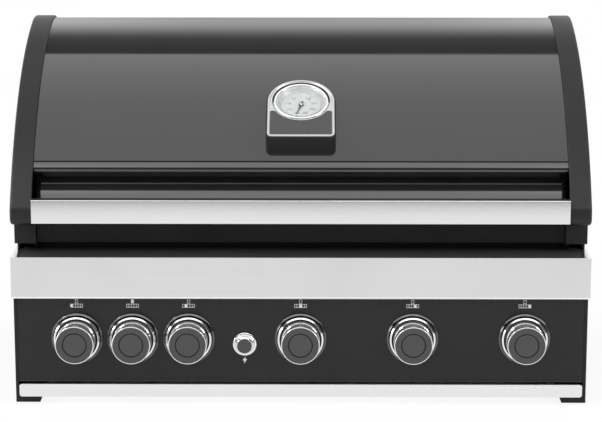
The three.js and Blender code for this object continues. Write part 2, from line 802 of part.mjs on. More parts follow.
function makeBand() {
  const half = band.halfWidth;
  const returns = [-1, 1].flatMap((side) => {
    const outer = side * half;
    const hem = [
      [outer, 0],
      [outer - side * band.hemFront, 0],
      [outer - side * band.hemBack, band.returnDepth],
      [outer, band.returnDepth],
    ];
    return [
      box(outer - side * sheet, outer, 0, band.returnDepth, band.bottomZ, band.topZ),
      alongZ(hem, band.topZ - sheet, band.topZ),
    ];
  });
  const bottomHem = box(-half, half, 0, body.faceY - gap, band.bottomZ, band.bottomZ + sheet);
  const face = box(-half, half, 0, sheet, band.bottomZ, band.topZ);
  add('front_band', join(face, bottomHem, ...returns), brushedSteel);

  const shelfX = half - shelf.endGap;
  const frontY = sheet + gap;
  const shelfSheet = join(
    box(-shelfX, shelfX, frontY, fireFrontY - shelf.backGap, shelfTopZ - sheet, shelfTopZ),
    box(-shelfX, shelfX, frontY, frontY + sheet, shelfTopZ - shelf.lip, shelfTopZ),
  );
  add('front_shelf', shelfSheet, satinBlack);
}

function makePanel() {
  const topZ = shelfTopZ - sheet - gap;
  const frontY = body.faceY;
  const backY = frontY + sheet;
  const foldY = frontY + panel.foldDepth;
  const folded = join(
    box(-panelX, panelX, frontY, backY, panel.bottomZ, topZ),
    box(-panelX, panelX, frontY, foldY, panel.bottomZ, panel.bottomZ + sheet),
    box(-panelX, panelX, frontY, foldY, topZ - sheet, topZ),
    box(-panelX, -panelX + sheet, frontY, foldY, panel.bottomZ, topZ),
    box(panelX - sheet, panelX, frontY, foldY, panel.bottomZ, topZ),
  );
  const drill = (radius, x, z, sides) => rodY(radius, x, frontY - overrun, backY + overrun, z, sides);
  const holes = [
    ...knobXs.map((x) => drill(panel.spindleHole, x, valve.axisZ, roundSides.tube)),
    drill(igniter.barrelRadius + gap, igniterX, igniterZ, roundSides.medium),
  ];
  add('control_panel', cut(folded, ...holes), glossBlack);
}

function makeSides() {
  for (const [name, side] of pair('side_panel')) {
    const topZ = rimZ - gap;
    const innerX = sideX - sheet;
    const bottomX = sideX - foot.bottomWidth;
    const lipX = footX + foot.lip;
    const channel = [
      [sideX, topZ],
      [sideX, 0],
      [bottomX, 0],
      [footX, foot.height],
      [lipX, foot.height],
      [lipX, foot.height - sheet],
      [footX + foot.lipRoot, foot.height - sheet],
      [bottomX + sheet, sheet],
      [innerX, sheet],
      [innerX, topZ],
    ].map(([x, z]) => [side * x, z]);
    const end = [
      [sideX, 0],
      [bottomX, 0],
      [footX, foot.height],
      [sideX, foot.height],
    ].map(([x, z]) => [side * x, z]);
    const flangeX = side * (panelX + gap);
    const outerX = side * sideX;
    const folded = join(
      alongY(channel, body.faceY, bodyBackY),
      alongY(end, body.faceY, body.faceY + sheet),
      alongY(end, bodyBackY - sheet, bodyBackY),
      box(flangeX, outerX, body.faceY, body.faceY + sheet, 0, shelfTopZ - shelf.lip),
    );
    const hemUnderZ = band.topZ - sheet - gap;
    const hemBackY = band.returnDepth + gap;
    const underHem = box(flangeX, side * band.halfWidth, 0, hemBackY, hemUnderZ, rimZ);
    add(name, cut(folded, underHem), satinBlack);
  }
}

// The rear panel's top edge folds forward to close the gap behind the fire box
function makeBack() {
  const topZ = rimZ - gap;
  const backY = rearPanelY + sheet;
  const foldY = feedBackY + feed.radius + gap;
  const folded = join(
    box(-sideX, sideX, rearPanelY, backY, foot.height, topZ),
    box(-fireX, fireX, foldY, backY, topZ - sheet, topZ),
  );
  const hole = rodY(inlet.hole, inletX, rearPanelY - overrun, backY + overrun, manifoldZ);
  add('rear_panel', cut(folded, hole), innerSteel);
}

function makeTray() {
  const half = panelX - tray.endGap;
  const runnerX = footX + tray.runner;
  const wallX = footX - tray.wallGap;
  const wallTopZ = trayZ + tray.wallHeight;
  const floorTopZ = trayZ + sheet;
  const basin = join(
    box(-half, half, 0, sheet, trayZ, trayTopZ),
    box(-half, half, 0, tray.hem, trayTopZ - sheet, trayTopZ),
    box(-runnerX, runnerX, 0, tray.length, trayZ, floorTopZ),
    box(-wallX, wallX, 0, tray.frontDepth, trayZ, trayTopZ),
    box(-wallX, wallX, tray.length - sheet, tray.length, trayZ, wallTopZ),
    box(-wallX, -wallX + sheet, 0, tray.length, trayZ, wallTopZ),
    box(wallX - sheet, wallX, 0, tray.length, trayZ, wallTopZ),
  );
  add('drip_tray', basin, brushedSteel);
}

// A round spindle with one flat side, as an outline of (X, Z) points
function flattedRound(radius, flat) {
  const start = Math.asin(flat / radius);
  return Array.from({ length: roundSides.small + 1 }, (_, i) => {
    const angle = start + ((-Math.PI - 2 * start) * i) / roundSides.small;
    return [radius * Math.cos(angle), radius * Math.sin(angle)];
  });
}

function makeKnobs() {
  const halfEdge = knob.edge / 2;
  const recessY = knobFaceY + knob.recessDepth;
  const knobProfile = [
    [0, skirtBackY],
    [knob.skirtRadius, skirtBackY],
    [knob.skirtRadius, skirtFrontY + knob.edge],
    [knob.skirtRadius - knob.edge, skirtFrontY],
    [knob.collarRadius, skirtFrontY],
    [knob.faceRadius + halfEdge, knobFaceY + knob.edge],
    [knob.faceRadius - halfEdge, knobFaceY],
    [knob.recessRadius, knobFaceY],
    [knob.recessRadius - knob.recessDepth, recessY],
    [0, recessY],
  ];
  const bezelInner = knob.skirtRadius + knobBezel.gap;
  const bezelOuter = bezelInner + knobBezel.width;
  const bezelFrontY = body.faceY - knobBezel.height;
  const bezelProfile = [
    [bezelInner, body.faceY - gap],
    [bezelOuter, body.faceY - gap],
    [bezelOuter - gap, bezelFrontY + gap],
    [bezelInner, bezelFrontY],
  ];
  const boreOutline = flattedRound(spindle.radius + gap, spindle.flat + gap);
  const bore = alongY(boreOutline, spindleFrontY - knob.travel - gap, skirtBackY + overrun);
  const stemOutline = flattedRound(spindle.radius, spindle.flat);
  knobXs.forEach((x, i) => {
    const place = [x, 0, valve.axisZ];
    const knobShape = cut(turned(knobProfile, roundSides.large), bore);
    const stem = alongY(stemOutline, spindleFrontY, spindleRearY);
    add(`knob_${i + 1}`, knobShape, knobFace).position.set(...place);
    add(`valve_spindle_${i + 1}`, stem, innerSteel).position.set(...place);
    add(`knob_bezel_${i + 1}`, turned(bezelProfile, roundSides.large), chromed).position.set(...place);
  });
}

function makeIgniter() {
  const barrelBore = igniter.buttonRadius + gap;
  const backY = body.faceY + igniter.barrelDepth;
  const capY = backY - igniter.wall;
  const ringFrontY = body.faceY - igniter.ringHeight;
  const ringBackY = body.faceY - gap;
  const buttonBack = capY - igniter.travel - gap;
  const buttonFront = ringFrontY - igniter.buttonProud;
  const housing = [
    [0, backY],
    [igniter.barrelRadius, backY],
    [igniter.barrelRadius, ringBackY],
    [igniter.ringRadius, ringBackY],
    [igniter.ringRadius, ringFrontY + gap],
    [igniter.ringRadius - igniter.wall, ringFrontY],
    [barrelBore, ringFrontY],
    [barrelBore, capY],
    [0, capY],
  ];
  const button = [
    [0, buttonBack],
    [igniter.buttonRadius, buttonBack],
    [igniter.buttonRadius, buttonFront + igniter.wall],
    [igniter.buttonRadius - igniter.wall, buttonFront],
    [0, buttonFront],
  ];
  const place = [igniterX, 0, igniterZ];
  add('igniter_bezel', turned(housing, roundSides.medium), chromed).position.set(...place);
  add('igniter_button', turned(button, roundSides.medium), chromed).position.set(...place);
}

// The gauge plate's outline: square at the foot, round about the dial at the top
function plateOutline(out) {
  const half = gauge.halfWidth + out;
  const corner = gauge.corner + out;
  const cornerArc = (side, from, to) =>
    arc({ y: side * (half - corner), z: corner - out }, corner, from, to, steps.corner);
  return [
    ...cornerArc(1, -Math.PI / 2, 0),
    ...arc({ y: 0, z: gaugeCentre }, half, 0, Math.PI, gaugeSteps.round),
    ...cornerArc(-1, Math.PI, Math.PI * 1.5),
  ];
}

function makeGaugeHousing() {
  const around = (radius) => ring(radius, roundSides.large).map(([x, y]) => [x, y + gaugeCentre]);
  const wedge = alongZ(plateOutline(gauge.rimOut), -gauge.depth, -gauge.plate - gap, [around(housingBore)]);
  const lidRadius = lid.frontRadius - lid.capProud + gap;
  const lidRound = arc(frontCentre, lidRadius, Math.PI, Math.PI / 2, gaugeSteps.lidCut);
  const lidBulk = alongX([...lidRound, [frontCentre.y, frontCentre.z]], -skinX, skinX);
  add('gauge_housing', cut(inGaugeFrame(wedge), lidBulk), satinBlack);

  const frame = new THREE.Group();
  frame.position.set(0, gaugeFootY, gaugeFootZ);
  frame.rotation.x = gaugeLean;
  group.add(frame);
  const rimmed = join(
    alongZ(plateOutline(0), -gauge.plate, 0, [around(gauge.bezelInner)]),
    alongZ(around(gauge.bezelOuter), -gauge.plate, gauge.bezelHeight, [around(gauge.bezelInner)]),
  );
  add('gauge_plate', rimmed, chromed, frame);
  const atDial = new THREE.Group();
  atDial.position.y = gaugeCentre;
  frame.add(atDial);
  return atDial;
}

function makeGaugeDial(atDial) {
  const dialZ = -gauge.dialDepth;
  const caseBack = -gauge.caseDepth;
  const cupRadius = caseRadius - gauge.caseWall;
  const postZ = dialZ + 2 * gauge.post;
  const caseProfile = [
    [0, postZ],
    [gauge.post, postZ],
    [gauge.post, dialZ],
    [gauge.dialRadius, dialZ],
    [cupRadius, 0],
    [caseRadius, 0],
    [caseRadius, caseBack],
    [gauge.stemRadius, caseBack - gauge.caseWall],
    [gauge.stemRadius, -gauge.stemLength],
    [0, -gauge.stemLength],
  ];
  const glassBack = -gauge.glassDepth - gauge.glass;
  const cupShare = (glassBack - dialZ) / gauge.dialDepth;
  const glassRadius = gauge.dialRadius + (cupRadius - gauge.dialRadius) * cupShare - gap;
  const glassProfile = [
    [0, glassBack],
    [glassRadius, glassBack],
    [glassRadius, -gauge.glassDepth],
    [0, -gauge.glassDepth],
  ];
  add('gauge_case', turned(caseProfile, roundSides.large).rotateX(Math.PI / 2), dialPaint, atDial);
  add('gauge_lens', turned(glassProfile, roundSides.large).rotateX(Math.PI / 2), clearGlass, atDial);

  const halfTip = gauge.needleTip / 2;
  const halfRoot = gauge.needleHub / 2;
  const pointer = [
    [-halfRoot, gauge.needleTail],
    [halfRoot, gauge.needleTail],
    [halfTip, -gauge.needle],
    [-halfTip, -gauge.needle],
  ];
  const needleShape = join(
    alongZ(ring(gauge.needleHub, roundSides.small), 0, gauge.needleSheet),
    alongZ(pointer, 0, gauge.needleSheet),
  );
  const holeTop = gauge.needleSheet + overrun;
  const needleHole = rodZ(gauge.post + gap, 0, 0, -overrun, holeTop, roundSides.small);
  const needle = add('gauge_needle', cut(needleShape, needleHole), needlePaint, atDial);
  needle.position.z = dialZ + gauge.post;
  needle.rotation.z = THREE.MathUtils.degToRad(needleRestAngle);
}

makeLid();
makeHandle();
makeHinges();
makeCastings();
makeFireBox();
makeBurners();
makeTamers();
makeGrates();
makeRack();
makeManifold();
makeBand();
makePanel();
makeSides();
makeBack();
makeTray();
makeKnobs();
makeIgniter();
makeGaugeDial(makeGaugeHousing());

// The origin goes under the middle of the part, between the knobs' faces and the inlet's end
group.position.y = -(knobFaceY + inletEndY) / 2;

export default group;
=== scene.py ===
# Looks of the built-in gas grill head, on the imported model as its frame
from math import acos, atan, atan2, cos, degrees, hypot, pi, radians, sin, sqrt
from types import SimpleNamespace

import bmesh
import bpy
from mathutils import Matrix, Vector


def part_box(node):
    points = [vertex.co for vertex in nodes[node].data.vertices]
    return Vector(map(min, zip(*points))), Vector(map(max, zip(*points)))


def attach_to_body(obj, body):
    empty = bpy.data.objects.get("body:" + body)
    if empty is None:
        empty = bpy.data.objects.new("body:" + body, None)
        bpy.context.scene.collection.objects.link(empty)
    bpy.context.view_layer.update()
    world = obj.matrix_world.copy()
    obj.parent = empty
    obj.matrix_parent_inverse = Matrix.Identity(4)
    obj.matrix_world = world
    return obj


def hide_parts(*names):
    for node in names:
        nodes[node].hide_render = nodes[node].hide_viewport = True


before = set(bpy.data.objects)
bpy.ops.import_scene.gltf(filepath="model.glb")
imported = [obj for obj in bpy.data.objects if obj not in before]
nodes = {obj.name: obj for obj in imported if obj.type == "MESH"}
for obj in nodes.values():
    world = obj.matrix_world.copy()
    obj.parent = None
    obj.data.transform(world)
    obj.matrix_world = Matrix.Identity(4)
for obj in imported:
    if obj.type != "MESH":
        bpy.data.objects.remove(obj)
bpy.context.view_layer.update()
print("frame loaded,", len(nodes), "nodes")

mm = 0.001
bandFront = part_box("front_band")[0].y  # shapes are drawn in mm from the band's front and the floor, as in the CAD
leftRight = ((-1, "left"), (1, "right"))
roundSides = 96
scene = bpy.context.scene


def boxInMm(name):
    return [(corner.x / mm, (corner.y - bandFront) / mm, corner.z / mm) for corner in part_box(name)]


def addObject(name, data):
    made = bpy.data.objects.new(name, data)
    scene.collection.objects.link(made)
    return made


# Nodes

socketKinds = {float: "Float", int: "Int", tuple: "Vector"}


def setInputs(tree, node, values):
    for key, value in values.items():
        if isinstance(value, bpy.types.NodeSocket):
            tree.links.new(value, node.inputs[key])
        else:
            node.inputs[key].default_value = value
    return node


def addNode(tree, kind, values=None, family="ShaderNode", **settings):
    made = tree.nodes.new(family + kind)
    for key, value in settings.items():
        setattr(made, key, value)
    return setInputs(tree, made, values or {})


def newTree(name, kind, inputs, outputs):  # an input is its first value, or only its kind in words
    tree = bpy.data.node_groups.new(name, kind)
    for label, value in inputs.items():
        bare = isinstance(value, str)
        socketKind = "NodeSocket" + (value if bare else socketKinds[type(value)])
        socket = tree.interface.new_socket(label, in_out="INPUT", socket_type=socketKind)
        if not bare:
            socket.default_value = value
    for label, socketKind in outputs.items():
        tree.interface.new_socket(label, in_out="OUTPUT", socket_type="NodeSocket" + socketKind)
    return tree, tree.nodes.new("NodeGroupInput").outputs, tree.nodes.new("NodeGroupOutput").inputs


def placeGroup(tree, name, values):
    return addNode(tree, "Group", values, node_tree=bpy.data.node_groups[name]).outputs


def doMath(tree, operation, first, second=0.0):
    return addNode(tree, "Math", {0: first, 1: second}, operation=operation).outputs[0]


def rescale(tree, value, low, high, toLow=0.0, toHigh=1.0):
    values = {"Value": value, "From Min": low, "From Max": high, "To Min": toLow, "To Max": toHigh}
    return addNode(tree, "MapRange", values).outputs[0]


def mixColour(tree, share, under, over):
    return addNode(tree, "Mix", {0: share, 6: under, 7: over}, data_type="RGBA").outputs[2]


def noise(tree, place, scale, detail=2.0, distortion=0.0):
    values = {"Vector": place, "Scale": scale, "Detail": detail, "Distortion": distortion}
    return addNode(tree, "TexNoise", values).outputs[0]


def weigh(tree, first, share, second):
    rest = doMath(tree, "MULTIPLY", second, 1 - share)
    return doMath(tree, "ADD", doMath(tree, "MULTIPLY", first, share), rest)


def tone(value):  # a grey from one number or a colour from three, with its alpha
    return (*value, 1) if isinstance(value, tuple) else (value, value, value, 1)


def rampOf(tree, along, stops):
    ramp = addNode(tree, "ValToRGB", {0: along})
    elements = ramp.color_ramp.elements
    elements.remove(elements[1])
    for i, (at, value) in enumerate(stops):
        element = elements[0] if i == 0 else elements.new(at)
        element.position = at
        element.color = tone(value)
    return ramp.outputs[0]


# Effects that several finishes share. Each grain gives a height and a tone

def grainTree(name, size):
    inputs = {"Vector": "Vector", **size, "Contrast": 1.0}
    return newTree(name, "ShaderNodeTree", inputs, {"Height": "Float", "Tone": "Float"})


def endGrain(tree, given, out, height, shade):
    contrasted = doMath(tree, "MULTIPLY", doMath(tree, "SUBTRACT", shade, 0.5), given["Contrast"])
    tree.links.new(height, out["Height"])
    tree.links.new(doMath(tree, "ADD", contrasted, 0.5), out["Tone"])


def makeFineGrain():
    tree, given, out = grainTree("fineGrain", {"Scale": 400.0})
    fine = noise(tree, given["Vector"], given["Scale"], 3.0)
    broad = noise(tree, given["Vector"], doMath(tree, "MULTIPLY", given["Scale"], 0.06))
    endGrain(tree, given, out, fine, broad)


def makeBrushing():
    tree, given, out = grainTree("brushing", {"Stretch": (3.0, 900.0, 900.0)})
    values = {0: given["Vector"], 1: given["Stretch"]}
    stretched = addNode(tree, "VectorMath", values, operation="MULTIPLY").outputs[0]
    fine = noise(tree, stretched, 1.0, 4.0)
    endGrain(tree, given, out, fine, weigh(tree, fine, 0.6, noise(tree, stretched, 0.13)))


def makeTurning():  # fine rings on turned pieces, from the lathe's own map
    tree, given, out = grainTree("turning", {"Rings": 2500.0})
    parts = addNode(tree, "SeparateXYZ", {0: addNode(tree, "UVMap", uv_map="turn").outputs[0]})
    values = {"W": doMath(tree, "MULTIPLY", parts.outputs[1], given["Rings"]), "Scale": 1.0, "Detail": 3.0}
    rings = addNode(tree, "TexNoise", values, noise_dimensions="1D").outputs[0]
    endGrain(tree, given, out, rings, weigh(tree, rings, 0.8, noise(tree, given["Vector"], 60.0)))


def makeCastSkin():  # the pebbled skin of painted castings
    tree, given, out = grainTree("castSkin", {"Scale": 500.0})
    place, scale = given["Vector"], given["Scale"]
    pebbles = addNode(tree, "TexVoronoi", {"Vector": place, "Scale": scale}, feature="SMOOTH_F1").outputs[0]
    grit = noise(tree, place, doMath(tree, "MULTIPLY", scale, 2.3))
    patches = noise(tree, place, doMath(tree, "MULTIPLY", scale, 0.03), 3.0)
    endGrain(tree, given, out, weigh(tree, pebbles, 0.7, grit), patches)


def makeHandling():  # where hands and cloths have left the gloss uneven
    tree, given, out = newTree("handling", "ShaderNodeTree", {"Vector": "Vector", "Scale": 9.0}, {"Mask": "Float"})
    warped = noise(tree, given["Vector"], given["Scale"], 5.0, 1.2)
    tree.links.new(rescale(tree, warped, 0.35, 0.7), out["Mask"])


heatStops = ((0.0, (0.5, 0.49, 0.47)), (0.35, (0.46, 0.41, 0.33)), (0.6, (0.3, 0.22, 0.15)), (0.85, (0.16, 0.15, 0.2)))


def makeHeatTint():  # straw, bronze and blue where steel has been hot
    inputs = {"Vector": "Vector", "Heat": 0.5, "Scale": 14.0}
    tree, given, out = newTree("heatTint", "ShaderNodeTree", inputs, {"Color": "Color"})
    flow = noise(tree, given["Vector"], given["Scale"], 4.0, 0.8)
    level = doMath(tree, "MULTIPLY", doMath(tree, "MULTIPLY", flow, given["Heat"]), 2.0)
    tree.links.new(rampOf(tree, level, heatStops), out["Color"])


for makeGroup in (makeFineGrain, makeBrushing, makeTurning, makeCastSkin, makeHandling, makeHeatTint):
    makeGroup()


def newMaterial(name):
    material = bpy.data.materials.new(name)
    material.use_nodes = True
    return material, material.node_tree, material.node_tree.nodes["Principled BSDF"]


def handledGloss(tree, place, touch, roughness, spread):
    hands = placeGroup(tree, "handling", {"Vector": place, "Scale": touch})["Mask"]
    return rescale(tree, hands, 0.0, 1.0, roughness, roughness + spread)


def finish(name, tones, gloss, metallic=0.0, ior=1.5, grain="fineGrain", relief=(0.2, 0.05), touch=9.0, heat=None,
           **pattern):
    material, tree, shader = newMaterial(name)
    place = addNode(tree, "TexCoord").outputs["Object"]
    marks = placeGroup(tree, grain, {"Vector": place, **pattern})
    light = placeGroup(tree, "heatTint", {"Vector": place, "Heat": heat})["Color"] if heat else tone(tones[1])
    strength, depth = relief
    bump = addNode(tree, "Bump", {"Strength": strength, "Distance": depth * mm, "Height": marks["Height"]})
    setInputs(tree, shader, {
        "Base Color": mixColour(tree, marks["Tone"], tone(tones[0]), light), "Normal": bump.outputs[0],
        "Roughness": handledGloss(tree, place, touch, *gloss), "Metallic": metallic, "IOR": ior})
    return material


def makeGlass(name, tint, gloss, ior, touch):
    material, tree, shader = newMaterial(name)
    place = addNode(tree, "TexCoord").outputs["Object"]
    setInputs(tree, shader, {"Roughness": handledGloss(tree, place, touch, *gloss), "Base Color": tone(tint),
                             "Transmission Weight": 1.0, "IOR": ior})
    return material


# tones: dark and light base colour. gloss: roughness and its spread. relief: bump strength and depth in mm
steel = {"metallic": 1.0, "grain": "brushing"}
lathed = {"grain": "turning", "touch": 20.0}
skinned = {"grain": "castSkin"}
finishes = {
    "enamel": dict(tones=(0.010, 0.016), gloss=(0.045, 0.03), ior=1.8, relief=(0.05, 0.02), touch=5.0, Scale=220.0),
    "panelGloss": dict(tones=(0.009, 0.013), gloss=(0.2, 0.06), ior=1.38, relief=(0.06, 0.02), touch=6.0, Scale=500.0),
    "satin": dict(tones=(0.026, 0.037), gloss=(0.42, 0.08), relief=(0.25, 0.05), touch=7.0, Scale=900.0),
    "shelfPowder": dict(tones=(0.042, 0.056), gloss=(0.5, 0.06), relief=(0.16, 0.03), touch=10.0, Scale=700.0),
    "side": dict(tones=(0.007, 0.012), gloss=(0.45, 0.08), ior=1.36, relief=(0.25, 0.05), touch=7.0, Scale=900.0),
    "cap": dict(tones=(0.010, 0.016), gloss=(0.4, 0.06), ior=1.38, relief=(0.15, 0.05), touch=7.0, Scale=900.0,
                **skinned),
    "cast": dict(tones=(0.008, 0.014), gloss=(0.5, 0.1), ior=1.36, relief=(0.35, 0.12), Scale=520.0, **skinned),
    "fireBlack": dict(tones=(0.006, 0.011), gloss=(0.5, 0.1), ior=1.34, relief=(0.25, 0.08), Scale=700.0, **skinned),
    "brushed": dict(tones=(0.66, 0.75), gloss=(0.2, 0.06), relief=(0.08, 0.02), touch=4.0, **steel),
    "strip": dict(tones=(0.78, 0.86), gloss=(0.22, 0.05), relief=(0.06, 0.02), touch=4.0, Contrast=0.7, **steel),
    "handle": dict(tones=(0.76, 0.84), gloss=(0.25, 0.02), relief=(0.015, 0.01), touch=4.0, Contrast=0.8, **steel),
    "mill": dict(tones=(0.42, 0.52), gloss=(0.36, 0.12), relief=(0.15, 0.03), Stretch=(8.0, 260.0, 260.0), Contrast=1.4,
                 **steel),
    "hotSteel": dict(tones=(0.3,), gloss=(0.4, 0.15), metallic=1.0, heat=0.62, Scale=300.0, Contrast=1.2),
    "burnerSteel": dict(tones=(0.36,), gloss=(0.34, 0.12), relief=(0.1, 0.03), heat=0.5, Stretch=(500.0, 6.0, 500.0),
                        Contrast=1.2, **steel),
    "chrome": dict(tones=(0.80, 0.86), gloss=(0.05, 0.04), metallic=1.0, relief=(0.04, 0.01), Rings=1500.0,
                   Contrast=0.6, **lathed),
    "knobCone": dict(tones=(0.50, 0.62), gloss=(0.13, 0.08), metallic=0.75, ior=1.9, relief=(0.05, 0.01), Rings=1200.0,
                     Contrast=0.8, **lathed),
    # a darkened copy of chrome: painted shade standing in for the dark surroundings that the knob surrounds reflect
    "chromeWithPaintedShade": dict(tones=(0.09, 0.15), gloss=(0.08, 0.05), metallic=1.0, relief=(0.04, 0.01), Rings=1500.0,
                       Contrast=0.6, **lathed),
    "platePolish": dict(tones=(0.50, 0.60), gloss=(0.2, 0.05), relief=(0.05, 0.01), touch=30.0,
                        Stretch=(60.0, 1500.0, 1500.0), Contrast=0.7, **steel),
    "knobFace": dict(tones=(0.045, 0.062), gloss=(0.38, 0.05), relief=(0.12, 0.02), touch=25.0, grain="turning",
                     Rings=4000.0),
    "iron": dict(tones=(0.012, 0.026), gloss=(0.55, 0.15), relief=(0.5, 0.2), Scale=380.0, Contrast=1.4, **skinned),
    "brass": dict(tones=((0.42, 0.30, 0.13), (0.58, 0.42, 0.2)), gloss=(0.26, 0.12), metallic=1.0, relief=(0.1, 0.03),
                  Scale=500.0, Contrast=1.2),
    "dial": dict(tones=(0.84, 0.90), gloss=(0.4, 0.05), relief=(0.05, 0.01), Scale=900.0, Contrast=0.4),
    "cup": dict(tones=(0.68, 0.74), gloss=(0.36, 0.05), metallic=0.25, relief=(0.06, 0.01), grain="turning",
                Rings=3000.0, Contrast=0.5),
    "needle": dict(tones=(0.035, 0.05), gloss=(0.4, 0.05), relief=(0.05, 0.01), Scale=900.0),
    "ink": dict(tones=(0.78, 0.84), gloss=(0.5, 0.05), relief=(0.1, 0.01), Scale=1500.0),
    "mark": dict(tones=(0.12, 0.18), gloss=(0.5, 0.05), relief=(0.1, 0.01), Scale=1500.0),
    # painted shade: near-black pieces that stand in for the shade in holes, slots, gaps and grooves
    "paintedShade": dict(tones=(0.004, 0.008), gloss=(0.8, 0.1), Scale=600.0),
    "ceramic": dict(tones=((0.42, 0.33, 0.25), (0.55, 0.47, 0.38)), gloss=(0.8, 0.1), relief=(0.3, 0.1), Scale=600.0,
                    **skinned),
}
paints = {name: finish(name + "Finish", **values) for name, values in finishes.items()}
paints["glass"] = makeGlass("gaugeGlass", tint=(0.97, 0.99, 0.98), gloss=(0.0, 0.03), ior=1.3, touch=60.0)
print("finishes ready,", len(paints))


# Camera, floor and light

view = {"place": (0.0218, -3.440, 0.9914), "pitch": 12.12, "turn": 0.0066, "lens": 130.0}
studio = {
    "level": 2.0,  # the world's strength; the shares below are of this
    "bands": ((0, 0.04), (5, 0.04), (14, 0.05), (22, 0.07), (27, 0.9), (56, 0.95), (62, 0.57), (90, 0.59),
              (119.7, 0.74), (120.3, 0.07), (126, 0.1), (131, 0.12), (134, 0.2), (138, 0.43), (143, 0.68), (147, 0.73),
              (155, 0.6), (168, 0.34), (180, 0.34)),  # degrees up from the front and over, and the share there
    "wings": ((0, 0), (0.05, 0.05), (0.14, 1), (0.24, 0.4), (0.4, 0)),  # low panels that brighten the crown's ends
    "wingGain": 0.42,
    "plain": 0.43,  # what matt surfaces receive from all round
    "sides": (1.3, 0.4),
    "glint": (-0.69, -0.715, 0.085),  # towards a small softbox at the front left, for the chrome
    "glintReach": (9, 6),  # degrees from its middle to its edge and to its full level
    "glintLevel": 2.4,
    "floorTone": 0.82,
    "floorWhite": 0.8,  # the share of the floor that glows white for the camera and for reflections
    "floorGlow": 1.06,
    "floorReach": 3.2,
    "floorZ": -0.0003,
}
lamps = (
    {"name": "leftSoftbox", "place": (-2.6, -2.2, 2.4), "turn": (50, 0, -50), "size": 0.9, "power": 38},
    {"name": "rightSoftbox", "place": (3.0, -1.6, 1.6), "turn": (65, 0, 62), "size": 1.2, "power": 26},
)


def makeCamera(place, pitch, turn, lens):
    camera = addObject("photoCamera", bpy.data.cameras.new("photoCamera"))
    camera.location = place
    camera.rotation_euler = (radians(90 - pitch), 0, turn)
    camera.data.lens = lens
    camera.data.sensor_width = 36
    camera.data.clip_start = 0.05
    scene.camera = camera


def seenDirectly(tree, path):
    return doMath(tree, "MAXIMUM", path["Is Camera Ray"], path["Is Transmission Ray"])


def makeWorld():  # a bright overhead band with a dark gap behind it, dark low at the front and pale at the back
    scene.world = bpy.data.worlds.new("studio")
    scene.world.use_nodes = True
    tree = scene.world.node_tree
    towards = addNode(tree, "TexCoord").outputs["Generated"]
    across, depth, up = addNode(tree, "SeparateXYZ", {0: towards}).outputs
    angle = doMath(tree, "ARCTAN2", doMath(tree, "MAXIMUM", up, 0.0), doMath(tree, "MULTIPLY", depth, -1.0))
    bands = rampOf(tree, doMath(tree, "DIVIDE", angle, pi), [(at / 180, share) for at, share in studio["bands"]])
    wings = rampOf(tree, doMath(tree, "ABSOLUTE", across), studio["wings"])
    gain = doMath(tree, "MULTIPLY", doMath(tree, "MULTIPLY", wings, rescale(tree, up, 0.7, 0.5)), studio["wingGain"])
    values = {0: bands, 3: doMath(tree, "ADD", gain, 1.0)}
    around = addNode(tree, "VectorMath", values, operation="SCALE").outputs[0]
    for share, side in zip(studio["sides"], (-1.0, 1.0)):
        beside = rescale(tree, doMath(tree, "MULTIPLY", across, side), 0.72, 0.92)
        around = mixColour(tree, beside, around, tone(share))
    values = {0: towards, 1: studio["glint"]}
    nearness = addNode(tree, "VectorMath", values, operation="DOT_PRODUCT").outputs[1]
    inGlint = rescale(tree, nearness, *[cos(radians(reach)) for reach in studio["glintReach"]])
    around = mixColour(tree, inGlint, around, tone(studio["glintLevel"]))
    path = addNode(tree, "LightPath").outputs
    lit = mixColour(tree, path["Is Glossy Ray"], tone(studio["plain"]), around)
    white = mixColour(tree, seenDirectly(tree, path), lit, tone(1 / studio["level"]))
    setInputs(tree, tree.nodes["Background"], {"Color": white, "Strength": studio["level"]})


def makeFloor():
    mesh = bpy.data.meshes.new("floor")
    reach, z = studio["floorReach"], studio["floorZ"]
    corners = [(-reach, -reach, z), (reach, -reach, z), (reach, reach, z), (-reach, reach, z)]
    mesh.from_pydata(corners, [], [(0, 1, 2, 3)])
    material, tree, shader = newMaterial("floorPaper")
    setInputs(tree, shader, {"Base Color": tone(studio["floorTone"]), "Roughness": 0.9, "Specular IOR Level": 0.0})
    glow = addNode(tree, "Emission", {"Color": tone(1), "Strength": studio["floorGlow"]})
    path = addNode(tree, "LightPath").outputs
    seen = doMath(tree, "MAXIMUM", seenDirectly(tree, path), path["Is Glossy Ray"])
    share = doMath(tree, "MULTIPLY", seen, studio["floorWhite"])
    both = addNode(tree, "MixShader", {0: share, 1: shader.outputs[0], 2: glow.outputs[0]})
    setInputs(tree, tree.nodes["Material Output"], {"Surface": both.outputs[0]})
    mesh.materials.append(material)
    addObject("floor", mesh)


def makeLamp(name, place, turn, size, power):
    light = bpy.data.lights.new(name, "AREA")
    light.size = size
    light.energy = power
    made = addObject(name, light)
    made.location = place
    made.rotation_euler = [radians(angle) for angle in turn]


makeCamera(**view)
makeWorld()
makeFloor()
for lamp in lamps:
    makeLamp(**lamp)
scene.view_settings.view_transform = "Standard"
print("studio ready")


# Shapes, in mm from the band's front and the floor

def newShell():
    shell = bmesh.new()
    shell.loops.layers.uv.new("turn")
    return shell


def oriented(axis, along, u, v):
    return {"X": (along, u, v), "Y": (u, along, v), "Z": (u, v, along)}[axis]


def loft(shell, rings, wrap=False):
    rows = [[shell.verts.new(point) for point in ring] for ring in rings]
    for one, two in zip(rows, rows[1:] + rows[:1] if wrap else rows[1:]):
        for i in range(len(one)):
            j = (i + 1) % len(one)
            shell.faces.new((one[i], one[j], two[j], two[i]))
    if not wrap:
        shell.faces.new(rows[0][::-1])
        shell.faces.new(rows[-1])


def prism(shell, axis, outline, low, high):
    loft(shell, [[oriented(axis, along, u, v) for u, v in outline] for along in (low, high)])


def block(shell, x0, x1, y0, y1, z0, z1):
    prism(shell, "X", [(y0, z0), (y1, z0), (y1, z1), (y0, z1)], x0, x1)


